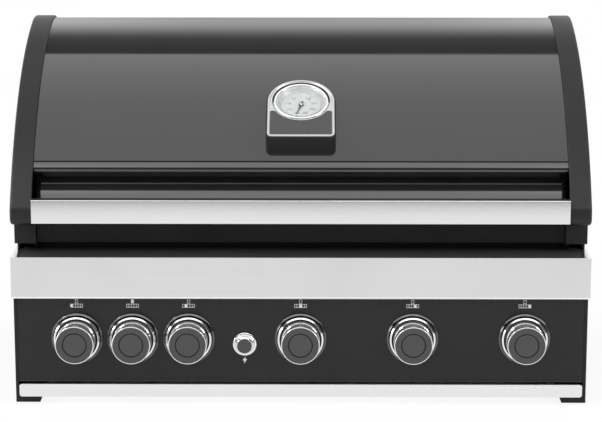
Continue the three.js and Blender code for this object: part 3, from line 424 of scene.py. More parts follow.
def lathe(shell, profile, centre, axis="Y", sides=roundSides, wrap=False):
    uv = shell.loops.layers.uv["turn"]
    lengths = [0.0]
    for (r0, h0), (r1, h1) in zip(profile, profile[1:]):
        lengths.append(lengths[-1] + hypot(r1 - r0, h1 - h0) * mm)
    rows = []
    for radius, along in profile:
        turns = [2 * pi * i / sides for i in range(sides if radius > 0 else 1)]
        points = [(centre[0] + radius * cos(t), centre[1] + radius * sin(t)) for t in turns]
        rows.append([shell.verts.new(oriented(axis, along, u, v)) for u, v in points])
    for a in range(len(rows) if wrap else len(rows) - 1):
        b = (a + 1) % len(rows)
        for i in range(sides):
            kept = {}
            for row, side in ((a, i), (a, i + 1), (b, i + 1), (b, i)):
                kept.setdefault(rows[row][side % len(rows[row])], (side / sides, lengths[row]))
            face = shell.faces.new(tuple(kept))
            for loop, place in zip(face.loops, kept.values()):
                loop[uv].uv = place


def arc(centre, radius, start, end, count):
    turns = [radians(start + (end - start) * i / count) for i in range(count + 1)]
    return [(centre[0] + radius * cos(t), centre[1] + radius * sin(t)) for t in turns]


def roundedBox(u0, u1, v0, v1, radius, count=5):
    left, right, low, high = u0 + radius, u1 - radius, v0 + radius, v1 - radius
    corners = ((right, high), (left, high), (left, low), (right, low))
    return [point for i, at in enumerate(corners) for point in arc(at, radius, 90 * i, 90 * i + 90, count)]


def cadShell(name):
    shell = newShell()
    shell.from_mesh(nodes[name].data)
    bmesh.ops.remove_doubles(shell, verts=shell.verts, dist=0.00001)
    bmesh.ops.dissolve_limit(shell, angle_limit=radians(1), verts=shell.verts, edges=shell.edges)
    bmesh.ops.translate(shell, vec=(0, -bandFront, 0), verts=shell.verts)
    bmesh.ops.scale(shell, vec=(1 / mm,) * 3, verts=shell.verts)
    return shell


def asObject(shell, name):
    mesh = bpy.data.meshes.new(name)
    shell.to_mesh(mesh)
    shell.free()
    return addObject(name, mesh)


def meshNow(made):
    return bpy.data.meshes.new_from_object(made.evaluated_get(bpy.context.evaluated_depsgraph_get()))


def cutAway(shell, tool):
    for one in (shell, tool):
        bmesh.ops.recalc_face_normals(one, faces=one.faces)
    work, knife = asObject(shell, "work"), asObject(tool, "knife")
    modifier = work.modifiers.new("cut", "BOOLEAN")
    modifier.object = knife
    modifier.operation = "DIFFERENCE"
    modifier.solver = "EXACT"
    left = bmesh.new()
    left.from_mesh(meshNow(work))
    for made in (work, knife):
        bpy.data.objects.remove(made)
    return left


def softenEdges(shell, width, steps, angle=28):
    sharp = [edge for edge in shell.edges if edge.is_manifold and edge.calc_face_angle() > radians(angle)]
    bmesh.ops.bevel(shell, geom=sharp, offset=width, segments=steps, profile=0.5, affect="EDGES", clamp_overlap=True)


def shadeSmooth(mesh, angle=32):
    mesh.shade_smooth()
    mesh.set_sharp_from_angle(angle=radians(angle))


def attach(piece, body, hides):
    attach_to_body(piece, body)
    if hides:
        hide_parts(*hides)


def makePiece(name, shell, slot, paint, hides=(), body="chassis", place=None, soften=0, steps=2, outward=True,
              smooth=32):
    if place:
        bmesh.ops.transform(shell, matrix=place, verts=shell.verts)
    if outward:
        bmesh.ops.recalc_face_normals(shell, faces=shell.faces)
    if soften:
        softenEdges(shell, soften, steps)
    bmesh.ops.scale(shell, vec=(mm,) * 3, verts=shell.verts)
    bmesh.ops.translate(shell, vec=(0, bandFront, 0), verts=shell.verts)
    piece = asObject(shell, name)
    piece.data.materials.append(paints[paint])
    for face in piece.data.polygons:
        face.material_index = 0
    shadeSmooth(piece.data, smooth)
    piece.modifiers.new("flatFaces", "WEIGHTED_NORMAL").keep_sharp = True
    attach(piece, body, hides)


def dressNode(name, slot, paint, soften=0.4, **more):
    makePiece(name + "_finished", cadShell(name), slot, paint, (name,), soften=soften, outward=False, **more)


def prismPiece(name, axis, outline, low, high, slot, paint, hides=(), **more):
    shell = newShell()
    prism(shell, axis, outline, low, high)
    makePiece(name, shell, slot, paint, hides, **more)


def blockPiece(name, box, slot, paint, side=1, **more):
    shell = newShell()
    block(shell, side * box[0], side * box[1], *box[2:])
    makePiece(name, shell, slot, paint, **more)


def lathePiece(name, profile, centre, slot, paint, hides=(), axis="Y", sides=roundSides, wrap=False, **more):
    shell = newShell()
    lathe(shell, profile, centre, axis, sides, wrap)
    makePiece(name, shell, slot, paint, hides, **more)


# Repeats grown with Geometry Nodes, in metres in the row frame

def growPiece(name, tree, values, paint, hides=(), body="chassis"):
    holder = addObject(name + "Seed", bpy.data.meshes.new(name + "Seed"))
    modifier = holder.modifiers.new("grow", "NODES")
    modifier.node_group = tree
    given = {**values, "Finish": paints[paint]}
    for item in tree.interface.items_tree:
        if item.in_out == "INPUT" and item.name in given:
            modifier[item.identifier] = given[item.name]
    mesh = meshNow(holder)
    mesh.name = name
    shadeSmooth(mesh)
    bpy.data.objects.remove(holder)
    attach(addObject(name, mesh), body, hides)


def spot(x, y, z):
    return (x * mm, bandFront + y * mm, z * mm)


def span(x, y, z):
    return (x * mm, y * mm, z * mm)


def growStep(tree, kind, values=None, **settings):
    return addNode(tree, kind, values, "GeometryNode", **settings).outputs[0]


def growTree(name, inputs):
    return newTree(name, "GeometryNodeTree", {**inputs, "Finish": "Material"}, {"Geometry": "Geometry"})


def endTree(tree, geometry, given, out):
    real = growStep(tree, "RealizeInstances", {0: geometry})
    tree.links.new(growStep(tree, "SetMaterial", {"Geometry": real, "Material": given["Finish"]}), out[0])
    return tree


def lineOf(tree, given):
    values = {"Count": given["Count"], "Start Location": given["Start"], "Offset": given["Step"]}
    return growStep(tree, "MeshLine", values)


def makeStudField():  # a field of round heads or holes: screws, rivets, ports, perforations
    tree, given, out = growTree("studField", {
        "Start": "Vector", "Step": "Vector", "Count": 2, "Row Step": "Vector", "Rows": 1, "Radius": 0.003,
        "Top Radius": 0.002, "Height": 0.001, "Sides": 12, "Facing": "Vector"})
    rows = growStep(tree, "MeshLine", {"Count": given["Rows"], "Offset": given["Row Step"]})
    grid = growStep(tree, "InstanceOnPoints", {"Points": lineOf(tree, given), "Instance": rows})
    points = growStep(tree, "RealizeInstances", {0: grid})
    values = {"Vertices": given["Sides"], "Radius Top": given["Top Radius"], "Radius Bottom": given["Radius"],
              "Depth": given["Height"]}
    head = growStep(tree, "MeshCone", values)
    heads = growStep(tree, "InstanceOnPoints", {"Points": points, "Instance": head, "Rotation": given["Facing"]})
    return endTree(tree, heads, given, out)


def makeBarRow():  # parallel bars or rods with rounded section
    tree, given, out = growTree("barRow", {
        "Start": "Vector", "Step": "Vector", "Count": 2, "Run": (0.0, 0.1, 0.0), "Width": 0.009, "Height": 0.012,
        "Corner": 0.002, "Corner Steps": 3})
    path = growStep(tree, "CurvePrimitiveLine", {"End": given["Run"]})
    upright = growStep(tree, "SetCurveNormal", {0: path}, mode="Z_UP")
    section = growStep(tree, "CurvePrimitiveQuadrilateral", {"Width": given["Width"], "Height": given["Height"]})
    values = {"Curve": section, "Count": given["Corner Steps"], "Radius": given["Corner"]}
    rounded = growStep(tree, "FilletCurve", values, mode="POLY")
    bar = growStep(tree, "CurveToMesh", {"Curve": upright, "Profile Curve": rounded, "Fill Caps": True})
    bars = growStep(tree, "InstanceOnPoints", {"Points": lineOf(tree, given), "Instance": bar})
    return endTree(tree, bars, given, out)


def makeTickRing():  # marks round a dial
    tree, given, out = growTree("tickRing", {
        "Centre": "Vector", "Lean": "Vector", "Radius": 0.02, "From": 0.0, "Turn": 0.1, "Count": 10, "Length": 0.002,
        "Thickness": 0.0004})
    number = growStep(tree, "InputIndex")
    angle = doMath(tree, "ADD", doMath(tree, "MULTIPLY", number, given["Turn"]), given["From"])
    across, up = [doMath(tree, "MULTIPLY", doMath(tree, way, angle), given["Radius"]) for way in ("COSINE", "SINE")]
    place, size, turned = [addNode(tree, "CombineXYZ", values).outputs[0] for values in (
        {0: across, 1: up}, {0: given["Length"], 1: given["Thickness"], 2: 0.0001}, {2: angle})]
    line = growStep(tree, "MeshLine", {"Count": given["Count"]})
    ringed = growStep(tree, "SetPosition", {"Geometry": line, "Position": place})
    tick = growStep(tree, "MeshCube", {"Size": size})
    ticks = growStep(tree, "InstanceOnPoints", {"Points": ringed, "Instance": tick, "Rotation": turned})
    values = {"Geometry": ticks, "Translation": given["Centre"], "Rotation": given["Lean"]}
    return endTree(tree, growStep(tree, "Transform", values), given, out)


studField = makeStudField()
barRow = makeBarRow()
tickRing = makeTickRing()


def growStuds(name, start, step, count, head, facing, paint, rowStep=(0, 0, 0), rows=1, slot="inner_steel"):
    radius, topRadius, height, sides = head
    values = {"Start": spot(*start), "Step": span(*step), "Count": count, "Row Step": span(*rowStep), "Rows": rows,
              "Radius": radius * mm, "Top Radius": topRadius * mm, "Height": height * mm, "Sides": sides,
              "Facing": facing}
    growPiece(name, studField, values, paint)


def growBars(name, start, step, count, run, section, slot="inner_steel", paint="mill", hides=()):
    width, height, corner, cornerSteps = section
    values = {"Start": spot(*start), "Step": span(*step), "Count": count, "Run": span(*run), "Width": width * mm,
              "Height": height * mm, "Corner": corner * mm, "Corner Steps": cornerSteps}
    growPiece(name, barRow, values, paint, hides)


# The lid's curves

lidShape = {
    "skinX": 406.7, "capX": 407, "sideX": 440, "seatZ": 279, "backY": 489, "skinBackZ": 305, "heelRadius": 6,
    "crown": (359, 425), "crownRadius": 130, "frontRadius": 485, "nose": (5, 304), "noseCorner": 12,
    "proud": 3.5, "sheet": 1.5, "cove": (39, 331.6), "coveRadius": 39, "coveLip": -111,
    "crease": 142.8, "grooveDepth": 2.2, "grooveWidth": 2.2, "lipFace": 25, "lipTurn": 24, "lipRound": 7,
    "recessCorner": 12, "gaugeHole": (39.2, -70, 15), "capWall": 5, "wallEdge": 0.8, "outerEdge": 4.5,
    "innerEdge": 2.2, "hinge": (455, 290), "bossRadius": 14, "bossEnds": (408.4, 436), "bossEdge": 1,
    "boreRadius": 4.4, "boreEnd": 429, "bossClear": 0.4,
}
lid = SimpleNamespace(**lidShape)

gaugeShape = {
    "foot": (0, 44.849, 410.586), "lean": 30.011, "middle": 83.5, "half": 51.5, "corner": 7, "plate": 1.2,
    "stand": 2, "wall": 4, "lidGap": 0.2, "rim": 3.6, "rimHeight": 0.8, "opening": 44.6, "openingUp": 1.2,
    "bezelOuter": 42.6, "bezelInner": 38.0, "cup": 37.0, "cupTop": -1.3, "case": 38.7, "dial": 30, "dialDepth": 9,
    "face": 29.4, "stem": 4, "stemLength": 68, "caseDepth": 15, "glass": 34.7,
    "badgeArc": 45.8, "badgeTop": 60.5, "badgeGap": 0.5, "badgeTurn": 3.4, "needleDepth": 7.5, "needleTurn": -17,
    "ticks": (("major", 25.6, 8, 3.4, 0.7), ("minor", 26.3, 36, 1.8, 0.4)),  # radius, count, length, thickness
    "firstTick": -235, "sweep": 290, "numbers": 8, "numberStep": 50, "numberRadius": 19.6, "numberSize": 5.2,
}
gauge = SimpleNamespace(**gaugeShape)
gaugePlace = Matrix.Translation(gauge.foot) @ Matrix.Rotation(radians(gauge.lean), 4, "X")


def circleMeet(first, firstRadius, second, secondRadius):
    across, up = second[0] - first[0], second[1] - first[1]
    apart = hypot(across, up)
    along = (firstRadius ** 2 - secondRadius ** 2 + apart ** 2) / (2 * apart)
    aside = sqrt(firstRadius ** 2 - along ** 2)
    return (first[0] + (along * across - aside * up) / apart, first[1] + (along * up + aside * across) / apart)


def bearing(centre, point):
    return degrees(atan2(point[1] - centre[1], point[0] - centre[0]))


def pointAt(centre, radius, turn):
    return arc(centre, radius, turn, 0, 1)[0]


frontCentre = circleMeet(lid.crown, lid.frontRadius - lid.crownRadius, lid.nose, lid.frontRadius)
joinAngle = bearing(frontCentre, lid.crown)


def overTheTop(inset, fromAngle):
    front = arc(frontCentre, lid.frontRadius - inset, fromAngle, joinAngle, 72)
    return front + arc(lid.crown, lid.crownRadius - inset, joinAngle, 0, 44)[1:]


def capOutline(inset):
    corner, heel = lid.noseCorner, lid.heelRadius
    start = degrees(acos((lid.nose[0] + inset - frontCentre[0]) / (lid.frontRadius - inset)))
    return (arc((lid.backY - heel, lid.seatZ + heel), heel - inset, 0, -90, 4)
            + arc((lid.nose[0] + corner, lid.seatZ + corner), corner - inset, -90, -180, 8)
            + overTheTop(inset, start))


def insidePath(path, distance):
    moved = []
    for i, point in enumerate(path):
        before, after = path[max(i - 1, 0)], path[min(i + 1, len(path) - 1)]
        along = (after[0] - before[0], after[1] - before[1])
        length = hypot(*along)
        moved.append((point[0] + along[1] / length * distance, point[1] - along[0] / length * distance))
    return moved


def skinPath():  # up the cove, round the recess and the lip, over the crease to the crown and down the back
    radius, crease = lid.frontRadius - lid.proud, lid.crease
    face, small, corner, lipTurn = lid.lipFace, lid.lipRound, lid.recessCorner, crease + lid.lipTurn
    faceCentre = pointAt(frontCentre, radius - face, crease)
    lipCentre = pointAt(faceCentre, face - small, lipTurn)
    cornerCentre = circleMeet(lipCentre, corner + small, lid.cove, lid.coveRadius - corner)
    coveEnd, cornerEnd = bearing(lid.cove, cornerCentre), bearing(cornerCentre, lipCentre)
    step = degrees(lid.grooveWidth / 2 / radius)
    return (arc(lid.cove, lid.coveRadius, lid.coveLip, coveEnd, 48)
            + arc(cornerCentre, corner, coveEnd, cornerEnd, 12)[1:]
            + arc(lipCentre, small, cornerEnd - 180, lipTurn - 360, 12)[1:]
            + arc(faceCentre, face, lipTurn, crease, 10)[1:]
            + [pointAt(frontCentre, radius - lid.grooveDepth, crease - step)]
            + overTheTop(lid.proud, crease - 2 * step)
            + [(lid.backY - lid.proud, lid.skinBackZ)])


def makeLidSkin():
    outer = skinPath()
    section = outer + insidePath(outer, lid.sheet)[::-1]
    shell, tool = newShell(), newShell()
    loft(shell, [[(x, y, z) for y, z in section] for x in (-lid.skinX, -50, 50, lid.skinX)])
    hole, deep, high = lid.gaugeHole
    lathe(tool, [(0, deep), (hole, deep), (hole, high), (0, high)], (0, gauge.middle), "Z", 72)
    bmesh.ops.transform(tool, matrix=gaugePlace, verts=tool.verts)
    makePiece("lid_enamel_skin", cutAway(shell, tool), "gloss_black", "enamel", ("lid_skin",), "lid", smooth=40)


def capStations():  # distance from the middle, and how far the outline is drawn in there
    edge, lip, wall = lid.outerEdge, lid.innerEdge, lid.capWall
    stations = [(lid.sideX - wall, wall), (lid.capX + lid.wallEdge, wall), (lid.capX, wall - lid.wallEdge)]
    for turn in (radians(a) for a in (0, 22, 45, 68, 90)):
        stations.append((lid.capX + lip * (1 - cos(turn)), lip * (1 - sin(turn))))
    for turn in (radians(a) for a in (0, 18, 36, 54, 72, 90)):
        stations.append((lid.sideX - edge + edge * sin(turn), edge * (1 - cos(turn))))
    return stations


def makeLidCaps():
    inner, outer = lid.bossEnds
    back, radius, bore = inner - lid.bossEdge, lid.bossRadius, lid.boreRadius
    boss = [(0, outer), (radius, outer), (radius, inner), (radius - lid.bossEdge, back), (bore, back),
            (bore, lid.boreEnd), (0, lid.boreEnd)]
    for side, name in leftRight:
        shell = newShell()
        loft(shell, [[(side * x, y, z) for y, z in capOutline(inset)] for x, inset in capStations()])
        firstOfBoss = len(shell.verts)
        lathe(shell, [(r, side * x) for r, x in boss], lid.hinge, "X", 40)
        shell.verts.ensure_lookup_table()
        for vert in shell.verts[firstOfBoss:]:
            vert.co.z = max(vert.co.z, lid.seatZ + lid.bossClear)
        makePiece("lid_cap_" + name, shell, "satin_black", "cap", ("lid_end_cap_" + name,), "lid", smooth=40)


handleShape = {"halfX": 406.7, "front": 2, "back": 20, "low": 283, "high": 319.5, "bulge": 0.48, "corner": 1.3}


def makeHandle():
    shape = SimpleNamespace(**handleShape)
    low, high, corner = shape.low, shape.high, shape.corner
    middle, half = (low + high) / 2, (high - low) / 2 - corner
    shares = [i / 10 - 1 for i in range(21)]
    face = [(shape.front + shape.bulge * share ** 2, middle + share * half) for share in shares]
    inset = face[0][0] + corner
    outline = (arc((inset, low + corner), corner, 270, 180, 6) + face[1:-1]
               + arc((inset, high - corner), corner, 180, 90, 6) + [(shape.back, high), (shape.back, low)])
    prismPiece("handle_bar", "X", outline, -shape.halfX, shape.halfX, "brushed_steel", "handle", ("lid_handle",),
               body="lid", smooth=30)


makeLidSkin()
makeLidCaps()
dressNode("lid_liner", "inner_steel", "mill", 0.3, steps=1, body="lid")
for name in ("hinge_pin_left", "hinge_pin_right"):
    dressNode(name, "inner_steel", "mill", 0.5)
makeHandle()
print("lid ready")


# The gauge on the lid, drawn in its plate's own plane: across, up the plate, out of it

onLid = {"body": "lid", "place": gaugePlace}
onNeedle = {"body": "gauge_needle", "place": gaugePlace}


def plateOutline(out):
    half, corner = gauge.half + out, gauge.corner + out
    inner = half - corner
    return (arc((inner, gauge.corner), corner, -90, 0, 8) + arc((0, gauge.middle), half, 0, 180, 56)
            + arc((-inner, gauge.corner), corner, 180, 270, 8))


def lidBelow(v):  # how far under the plate the lid's skin lies
    lean = radians(gauge.lean)
    radius = lid.frontRadius - lid.proud + gauge.lidGap
    depth, height = gauge.foot[1] + v * cos(lean) - frontCentre[0], gauge.foot[2] + v * sin(lean) - frontCentre[1]
    outward = height * cos(lean) - depth * sin(lean)
    return -outward + sqrt(outward ** 2 - depth ** 2 - height ** 2 + radius ** 2)


def loftPiece(name, rings, slot, paint, hides, **more):
    shell = newShell()
    loft(shell, rings, wrap=True)
    makePiece(name, shell, slot, paint, hides, **more)


def makePlate():
    low = gauge.stand - gauge.wall
    outer, inner = [[(u, v, lidBelow(v)) for u, v in plateOutline(out)] for out in (gauge.stand, low)]
    steps = ((gauge.stand, -2.6), (1.7, -1.9), (1.1, -1.5), (low, -1.5))
    rings = [outer, *[[(u, v, w) for u, v in plateOutline(out)] for out, w in steps], inner]
    loftPiece("gauge_stand", rings, "satin_black", "cast", ("gauge_housing",), **onLid)

    openingAt = (0, gauge.middle + gauge.openingUp)
    opening = [pointAt(openingAt, gauge.opening, bearing(openingAt, point)) for point in plateOutline(0)]
    high, rim = gauge.rimHeight, gauge.rim
    steps = ((0, -gauge.plate), (0, high - 0.5), (-0.2, high - 0.15), (-0.6, high), (0.5 - rim, high), (-rim, 0.3),
             (-rim - 0.3, 0.0))
    rings = [[(u, v, w) for u, v in plateOutline(out)] for out, w in steps]
    rings += [[(u, v, w) for u, v in opening] for w in (0.0, -gauge.plate)]
    loftPiece("gauge_plate_frame", rings, "chrome", "platePolish", ("gauge_plate",), **onLid, smooth=24)

    low = [point for point in plateOutline(-rim - gauge.badgeGap) if point[1] < 10]
    right, left = low[:len(low) // 2], low[len(low) // 2:]
    end = 90 - degrees(acos((gauge.middle - gauge.badgeTop + gauge.badgeGap) / gauge.badgeArc))
    turn = gauge.badgeTurn
    side, top = gauge.half - rim - gauge.badgeGap - turn, gauge.badgeTop - turn
    edge = (right + arc((side, top), turn, 0, 100, 6) + arc((0, gauge.middle), gauge.badgeArc, -end, end - 180, 40)
            + arc((-side, top), turn, 80, 180, 6) + left)
    prismPiece("gauge_badge_field", "Z", edge, 0.02, 0.3, "satin_black", "knobFace", **onLid)


def makeCase():
    centre = (0, gauge.middle)
    turned = {"axis": "Z", **onLid}
    inner, outer = gauge.bezelInner, gauge.bezelOuter
    half = (outer - inner) / 2
    bezel = [(outer, -1.2), *arc((inner + half, -1.0), half, 0, 180, 18), (inner, -1.2)]
    lathePiece("gauge_bezel", bezel, centre, "chrome", "chrome", wrap=True, **turned)
    # a near-black ring in the gap round the bezel: painted shade in that gap
    wide, narrow = gauge.opening + 0.05, gauge.opening - 0.85
    gapShade = [(wide, 0.06), (wide, -1.15), (narrow, -1.15), (narrow, 0.06)]
    lathePiece("gauge_gap_shade", gapShade, (0, gauge.middle + gauge.openingUp), "satin_black", "paintedShade", wrap=True, **turned)

    top, deep, outer, back = gauge.cupTop, gauge.dialDepth, gauge.case, -gauge.caseDepth
    shares, slope = [i / 10 for i in range(11)], gauge.cup - gauge.dial
    dish = [(gauge.dial + slope * share, top - (deep + top) * (1 - share ** 1.4)) for share in shares]
    case = [(0, -deep), *dish, (outer - 0.3, top), (outer, top - 0.3), (outer, back), (gauge.stem, back - 1.5),
            (gauge.stem, 2 - gauge.stemLength), (0, -gauge.stemLength)]
    lathePiece("gauge_cup", case, centre, "gauge_dial", "cup", ("gauge_case",), **turned)
    face, wide = 0.15 - deep, gauge.face
    shell = newShell()
    dial = [(0, face), (wide - 0.2, face), (wide, face - 0.1), (wide, face - 0.3), (0, face - 0.3)]
    lathe(shell, dial, centre, "Z")
    lathe(shell, [(0, face + 3), (1.2, face + 3), (1.2, face - 0.1), (0, face - 0.1)], centre, "Z", 20)
    makePiece("gauge_dial_face", shell, "gauge_dial", "dial", **onLid)
    wide = gauge.glass
    lens = [(0, -1.4), (20, -1.45), (wide - 0.5, -1.6), (wide, -2.0), (wide, -2.7), (0, -2.7)]
    lathePiece("gauge_window", lens, centre, "gauge_glass", "glass", ("gauge_lens",), **turned)

    blade = [(-1.6, 8), (1.6, 8), (1.5, 0), (0.4, -24), (-0.4, -24), (-1.5, 0)]
    shell = newShell()
    prism(shell, "Z", blade, 0, 0.7)
    lathe(shell, [(1.9, 0.0), (3.9, 0.0), (3.9, 0.75), (1.9, 0.75)], (0, 0), "Z", 32, wrap=True)
    turn = Matrix.Rotation(radians(gauge.needleTurn), 4, "Z")
    turn = Matrix.Translation((0, gauge.middle, -gauge.needleDepth)) @ turn
    bmesh.ops.transform(shell, matrix=turn, verts=shell.verts)
    makePiece("needle_blade", shell, "needle", "needle", ("gauge_needle",), **onNeedle)
    hub = [(0, -5.2), (1.4, -5.35), (2.3, -5.9), (2.5, -6.5), (2.5, -6.6), (0, -6.6)]
    lathePiece("needle_hub", hub, centre, "needle", "chrome", axis="Z", sides=32, **onNeedle)


def makeDialPrint():
    onDial = gaugePlace @ Matrix.Translation((0, gauge.middle, 0.17 - gauge.dialDepth))
    for name, radius, count, length, thickness in gauge.ticks:
        values = {"Centre": spot(*onDial.translation), "Lean": (radians(gauge.lean), 0, 0), "Radius": radius * mm,
                  "From": radians(gauge.firstTick), "Turn": radians(gauge.sweep / (count - 1)), "Count": count,
                  "Length": length * mm, "Thickness": thickness * mm}
        growPiece("gauge_%s_ticks" % name, tickRing, values, "mark", body="lid")
    shell = newShell()
    for i in range(gauge.numbers):
        curve = bpy.data.curves.new("dialNumber", "FONT")
        curve.body = str(gauge.numberStep * (i + 1))
        curve.size = gauge.numberSize
        curve.extrude = 0.05
        curve.align_x = curve.align_y = "CENTER"
        words = bpy.data.objects.new("dialNumber", curve)
        mesh = bpy.data.meshes.new_from_object(words)
        angle = radians(gauge.firstTick + gauge.sweep / (gauge.numbers - 1) * i)
        mesh.transform(Matrix.Translation((gauge.numberRadius * cos(angle), gauge.numberRadius * sin(angle), 0)))
        shell.from_mesh(mesh)
        bpy.data.objects.remove(words)
    bmesh.ops.remove_doubles(shell, verts=shell.verts, dist=0.001)
    makePiece("gauge_numbers", shell, "gauge_dial", "mark", body="lid", place=onDial, outward=False)


makePlate()
makeCase()
makeDialPrint()
print("gauge ready")


# Body: castings, fire box, shelf, band, panel, sides, back. Boxes are x, y and z from and to

trim = {
    "railTop": 243.9, "railFront": 72,  # below its top the casting's front is moved back, behind the shelf's ends
    "railSeal": (433.6, 438.2, 72, 96, 231.9, 243.8), "shelfEnd": (428.05, 436.4, 1.9, 71.5, 228.0, 229.45),
    "bandHem": ((-0.02, 167.35), (-0.5, 167.45), (-0.9, 167.9), (-0.9, 168.7), (-0.5, 169.5), (-0.02, 169.9)),
    "bandHalf": 439.6, "panelHem": (11.8, 14, 34.8, 36.9), "panelHemIn": 0.6, "panelEdgeIn": 0.8,
    "panelEdge": ((14.2, 33.3), (12.0, 33.3), *arc((12.0, 33.6), 0.3, -90, -180, 4), (11.7, 35.0), (14.2, 35.0)),
}


def makeCastings():
    for side, name in leftRight:
        shell = cadShell("side_casting_" + name)
        parts = shell.verts[:] + shell.edges[:] + shell.faces[:]
        bmesh.ops.bisect_plane(shell, geom=parts, plane_co=(0, 0, trim["railTop"]), plane_no=(0, 0, 1))
        for vert in shell.verts:
            if vert.co.z < trim["railTop"] - 0.9 and vert.co.y < trim["railFront"]:
                vert.co.y = trim["railFront"]
        makePiece("side_rail_" + name, shell, "cast_black", "cast", ("side_casting_" + name,), soften=1.2, steps=3,
                  outward=False)
        blockPiece("side_rail_seal_" + name, trim["railSeal"], "satin_black", "fireBlack", side, soften=0.5)


def makeBody():
    makeCastings()
    dressNode("firebox_front_wall", "cast_black", "fireBlack", 0.5)
    for name in ("firebox_rear_wall", "firebox_floor"):
        dressNode(name, "inner_steel", "hotSteel")
    dressNode("front_shelf", "satin_black", "shelfPowder")
    dressNode("front_band", "brushed_steel", "brushed", 0.6, steps=3)
    for side, name in leftRight:
        blockPiece("shelf_end_" + name, trim["shelfEnd"], "satin_black", "satin", side)
    half = trim["bandHalf"]
    prismPiece("band_hem", "X", trim["bandHem"], -half, half, "brushed_steel", "brushed", smooth=60)
    dressNode("control_panel", "gloss_black", "panelGloss")
    low, high = [corner[0] for corner in boxInMm("control_panel")]
    inset = trim["panelHemIn"]
    blockPiece("panel_hem", (low + inset, high - inset, *trim["panelHem"]), "gloss_black", "panelGloss")
    # the panel's folded lower edge gets the paler knob-face finish: a painted highlight along that edge
    inset = trim["panelEdgeIn"]
    prismPiece("panel_edge_highlight", "X", trim["panelEdge"], low + inset, high - inset, "gloss_black", "knobFace", smooth=60)
    for name in ("side_panel_left", "side_panel_right"):
        dressNode(name, "satin_black", "side")
    dressNode("rear_panel", "inner_steel", "mill")


fasteners = {
    "screw": (3.6, 3.6 * 0.72, 1.5, 20), "socket": (1.5, 1.4, 1.3, 6),  # radius, top radius, height, sides
    "sideX": 438.2, "socketX": 438.5, "sideYs": (120, 470, 3), "sideZs": (60, 205),
    "backXs": (-420, 420, 7), "backY": 499.8, "backZs": (30, 228),
}


def makeFasteners():
    shape = SimpleNamespace(**fasteners)
    (y0, y1, count), (z0, z1) = shape.sideYs, shape.sideZs
    rows = {"rowStep": (0, 0, z1 - z0), "rows": 2, "slot": "satin_black"}
    step = (0, (y1 - y0) / (count - 1), 0)
    for side, name in leftRight:
        facing = (0, radians(90 * side), 0)
        # the screws' sockets are near-black heads: painted shade in the sockets
        for kind, x, head, paint in (("screws", shape.sideX, shape.screw, "side"),
                                     ("screw_sockets", shape.socketX, shape.socket, "paintedShade")):
            growStuds("side_%s_%s" % (kind, name), (side * x, y0, z0), step, count, head, facing, paint, **rows)
    (x0, x1, count), (z0, z1) = shape.backXs, shape.backZs
    growStuds("back_screws", (x0, shape.backY, z0), ((x1 - x0) / (count - 1), 0, 0), count, shape.screw,
              (radians(-90), 0, 0), "mill", (0, 0, z1 - z0), 2)


louvres = {"xs": (-300, 0, 300), "width": 150, "y": 499.9, "lowZ": 96, "pitch": 11, "count": 10,
           "rib": (5.2, 4.4, 1.9, 4), "slot": (1.6, 0.8, 0.3, 4), "slotIn": 4, "slotY": 500.1, "slotDrop": 3}


def makeLouvres():
    shape = SimpleNamespace(**louvres)
    step, width, low, inset = (0, 0, shape.pitch), shape.width, shape.lowZ, shape.slotIn
    for i, x in enumerate(shape.xs, 1):
        left = x - width / 2
        growBars("back_louvres_%d" % i, (left, shape.y, low), step, shape.count, (width, 0, 0), shape.rib)
        # the slots behind the louvres are near-black bars: painted shade in the openings
        growBars("back_louvre_slots_%d" % i, (left + inset, shape.slotY, low - shape.slotDrop), step, shape.count,
                 (width - 2 * inset, 0, 0), shape.slot, paint="paintedShade")


trayShape = {"half": 431.2, "low": 12.3, "high": 32.5, "corner": 4, "front": 1.5, "basin": 392, "length": 430,
             "sheet": 1.5, "base": 13, "wallTop": 29, "runner": 404, "hem": 5, "hemIn": 4}


def makeTray():
    shape = SimpleNamespace(**trayShape)
    half, low, high, basin, back = shape.half, shape.low, shape.high, shape.basin, shape.length
    wall = (shape.base, shape.wallTop)
    shell = newShell()
    prism(shell, "Y", roundedBox(-half, half, low, high, shape.corner), 0, shape.front)
    block(shell, -shape.runner, shape.runner, 0.6, back, low + 0.05, shape.base + 0.8)
    block(shell, -basin, basin, 1.2, 3, low + 0.2, high - 1)
    block(shell, shape.hemIn - half, half - shape.hemIn, 0.8, shape.hem, high - 1.3, high - 0.15)
    block(shell, -basin, basin, back - shape.sheet, back, *wall)
    for side in (-1, 1):
        block(shell, side * basin, side * (basin - shape.sheet), 2, back - 0.5, *wall)
    makePiece("tray_with_front", shell, "brushed_steel", "strip", ("drip_tray",), "drip_tray", soften=0.4)


makeBody()
makeFasteners()
makeLouvres()
makeTray()
print("body ready")


# Control panel: knobs, igniter and the burner marks

knobXs = [(low[0] + high[0]) / 2 for low, high in (boxInMm("knob_%d" % n) for n in range(1, 7))]
knobShape = {
    "axisZ": 102.5, "back": 7.4, "front": 0.5, "face": -32, "skirt": 35.15, "skirtIn": 32.0, "collar": 29.8,
    "rim": 29.3, "rimIn": 27.9, "recess": 19.0, "groove": 1.9, "bore": 3.3, "boreEnd": -16.3,
    "surround": ((36.3, 11.7), (36.3, 8.6), (36.55, 8.15), (36.9, 8.1), (39.15, 9.1), (39.5, 9.6), (39.65, 11.7)),
}
knob = SimpleNamespace(**knobShape)


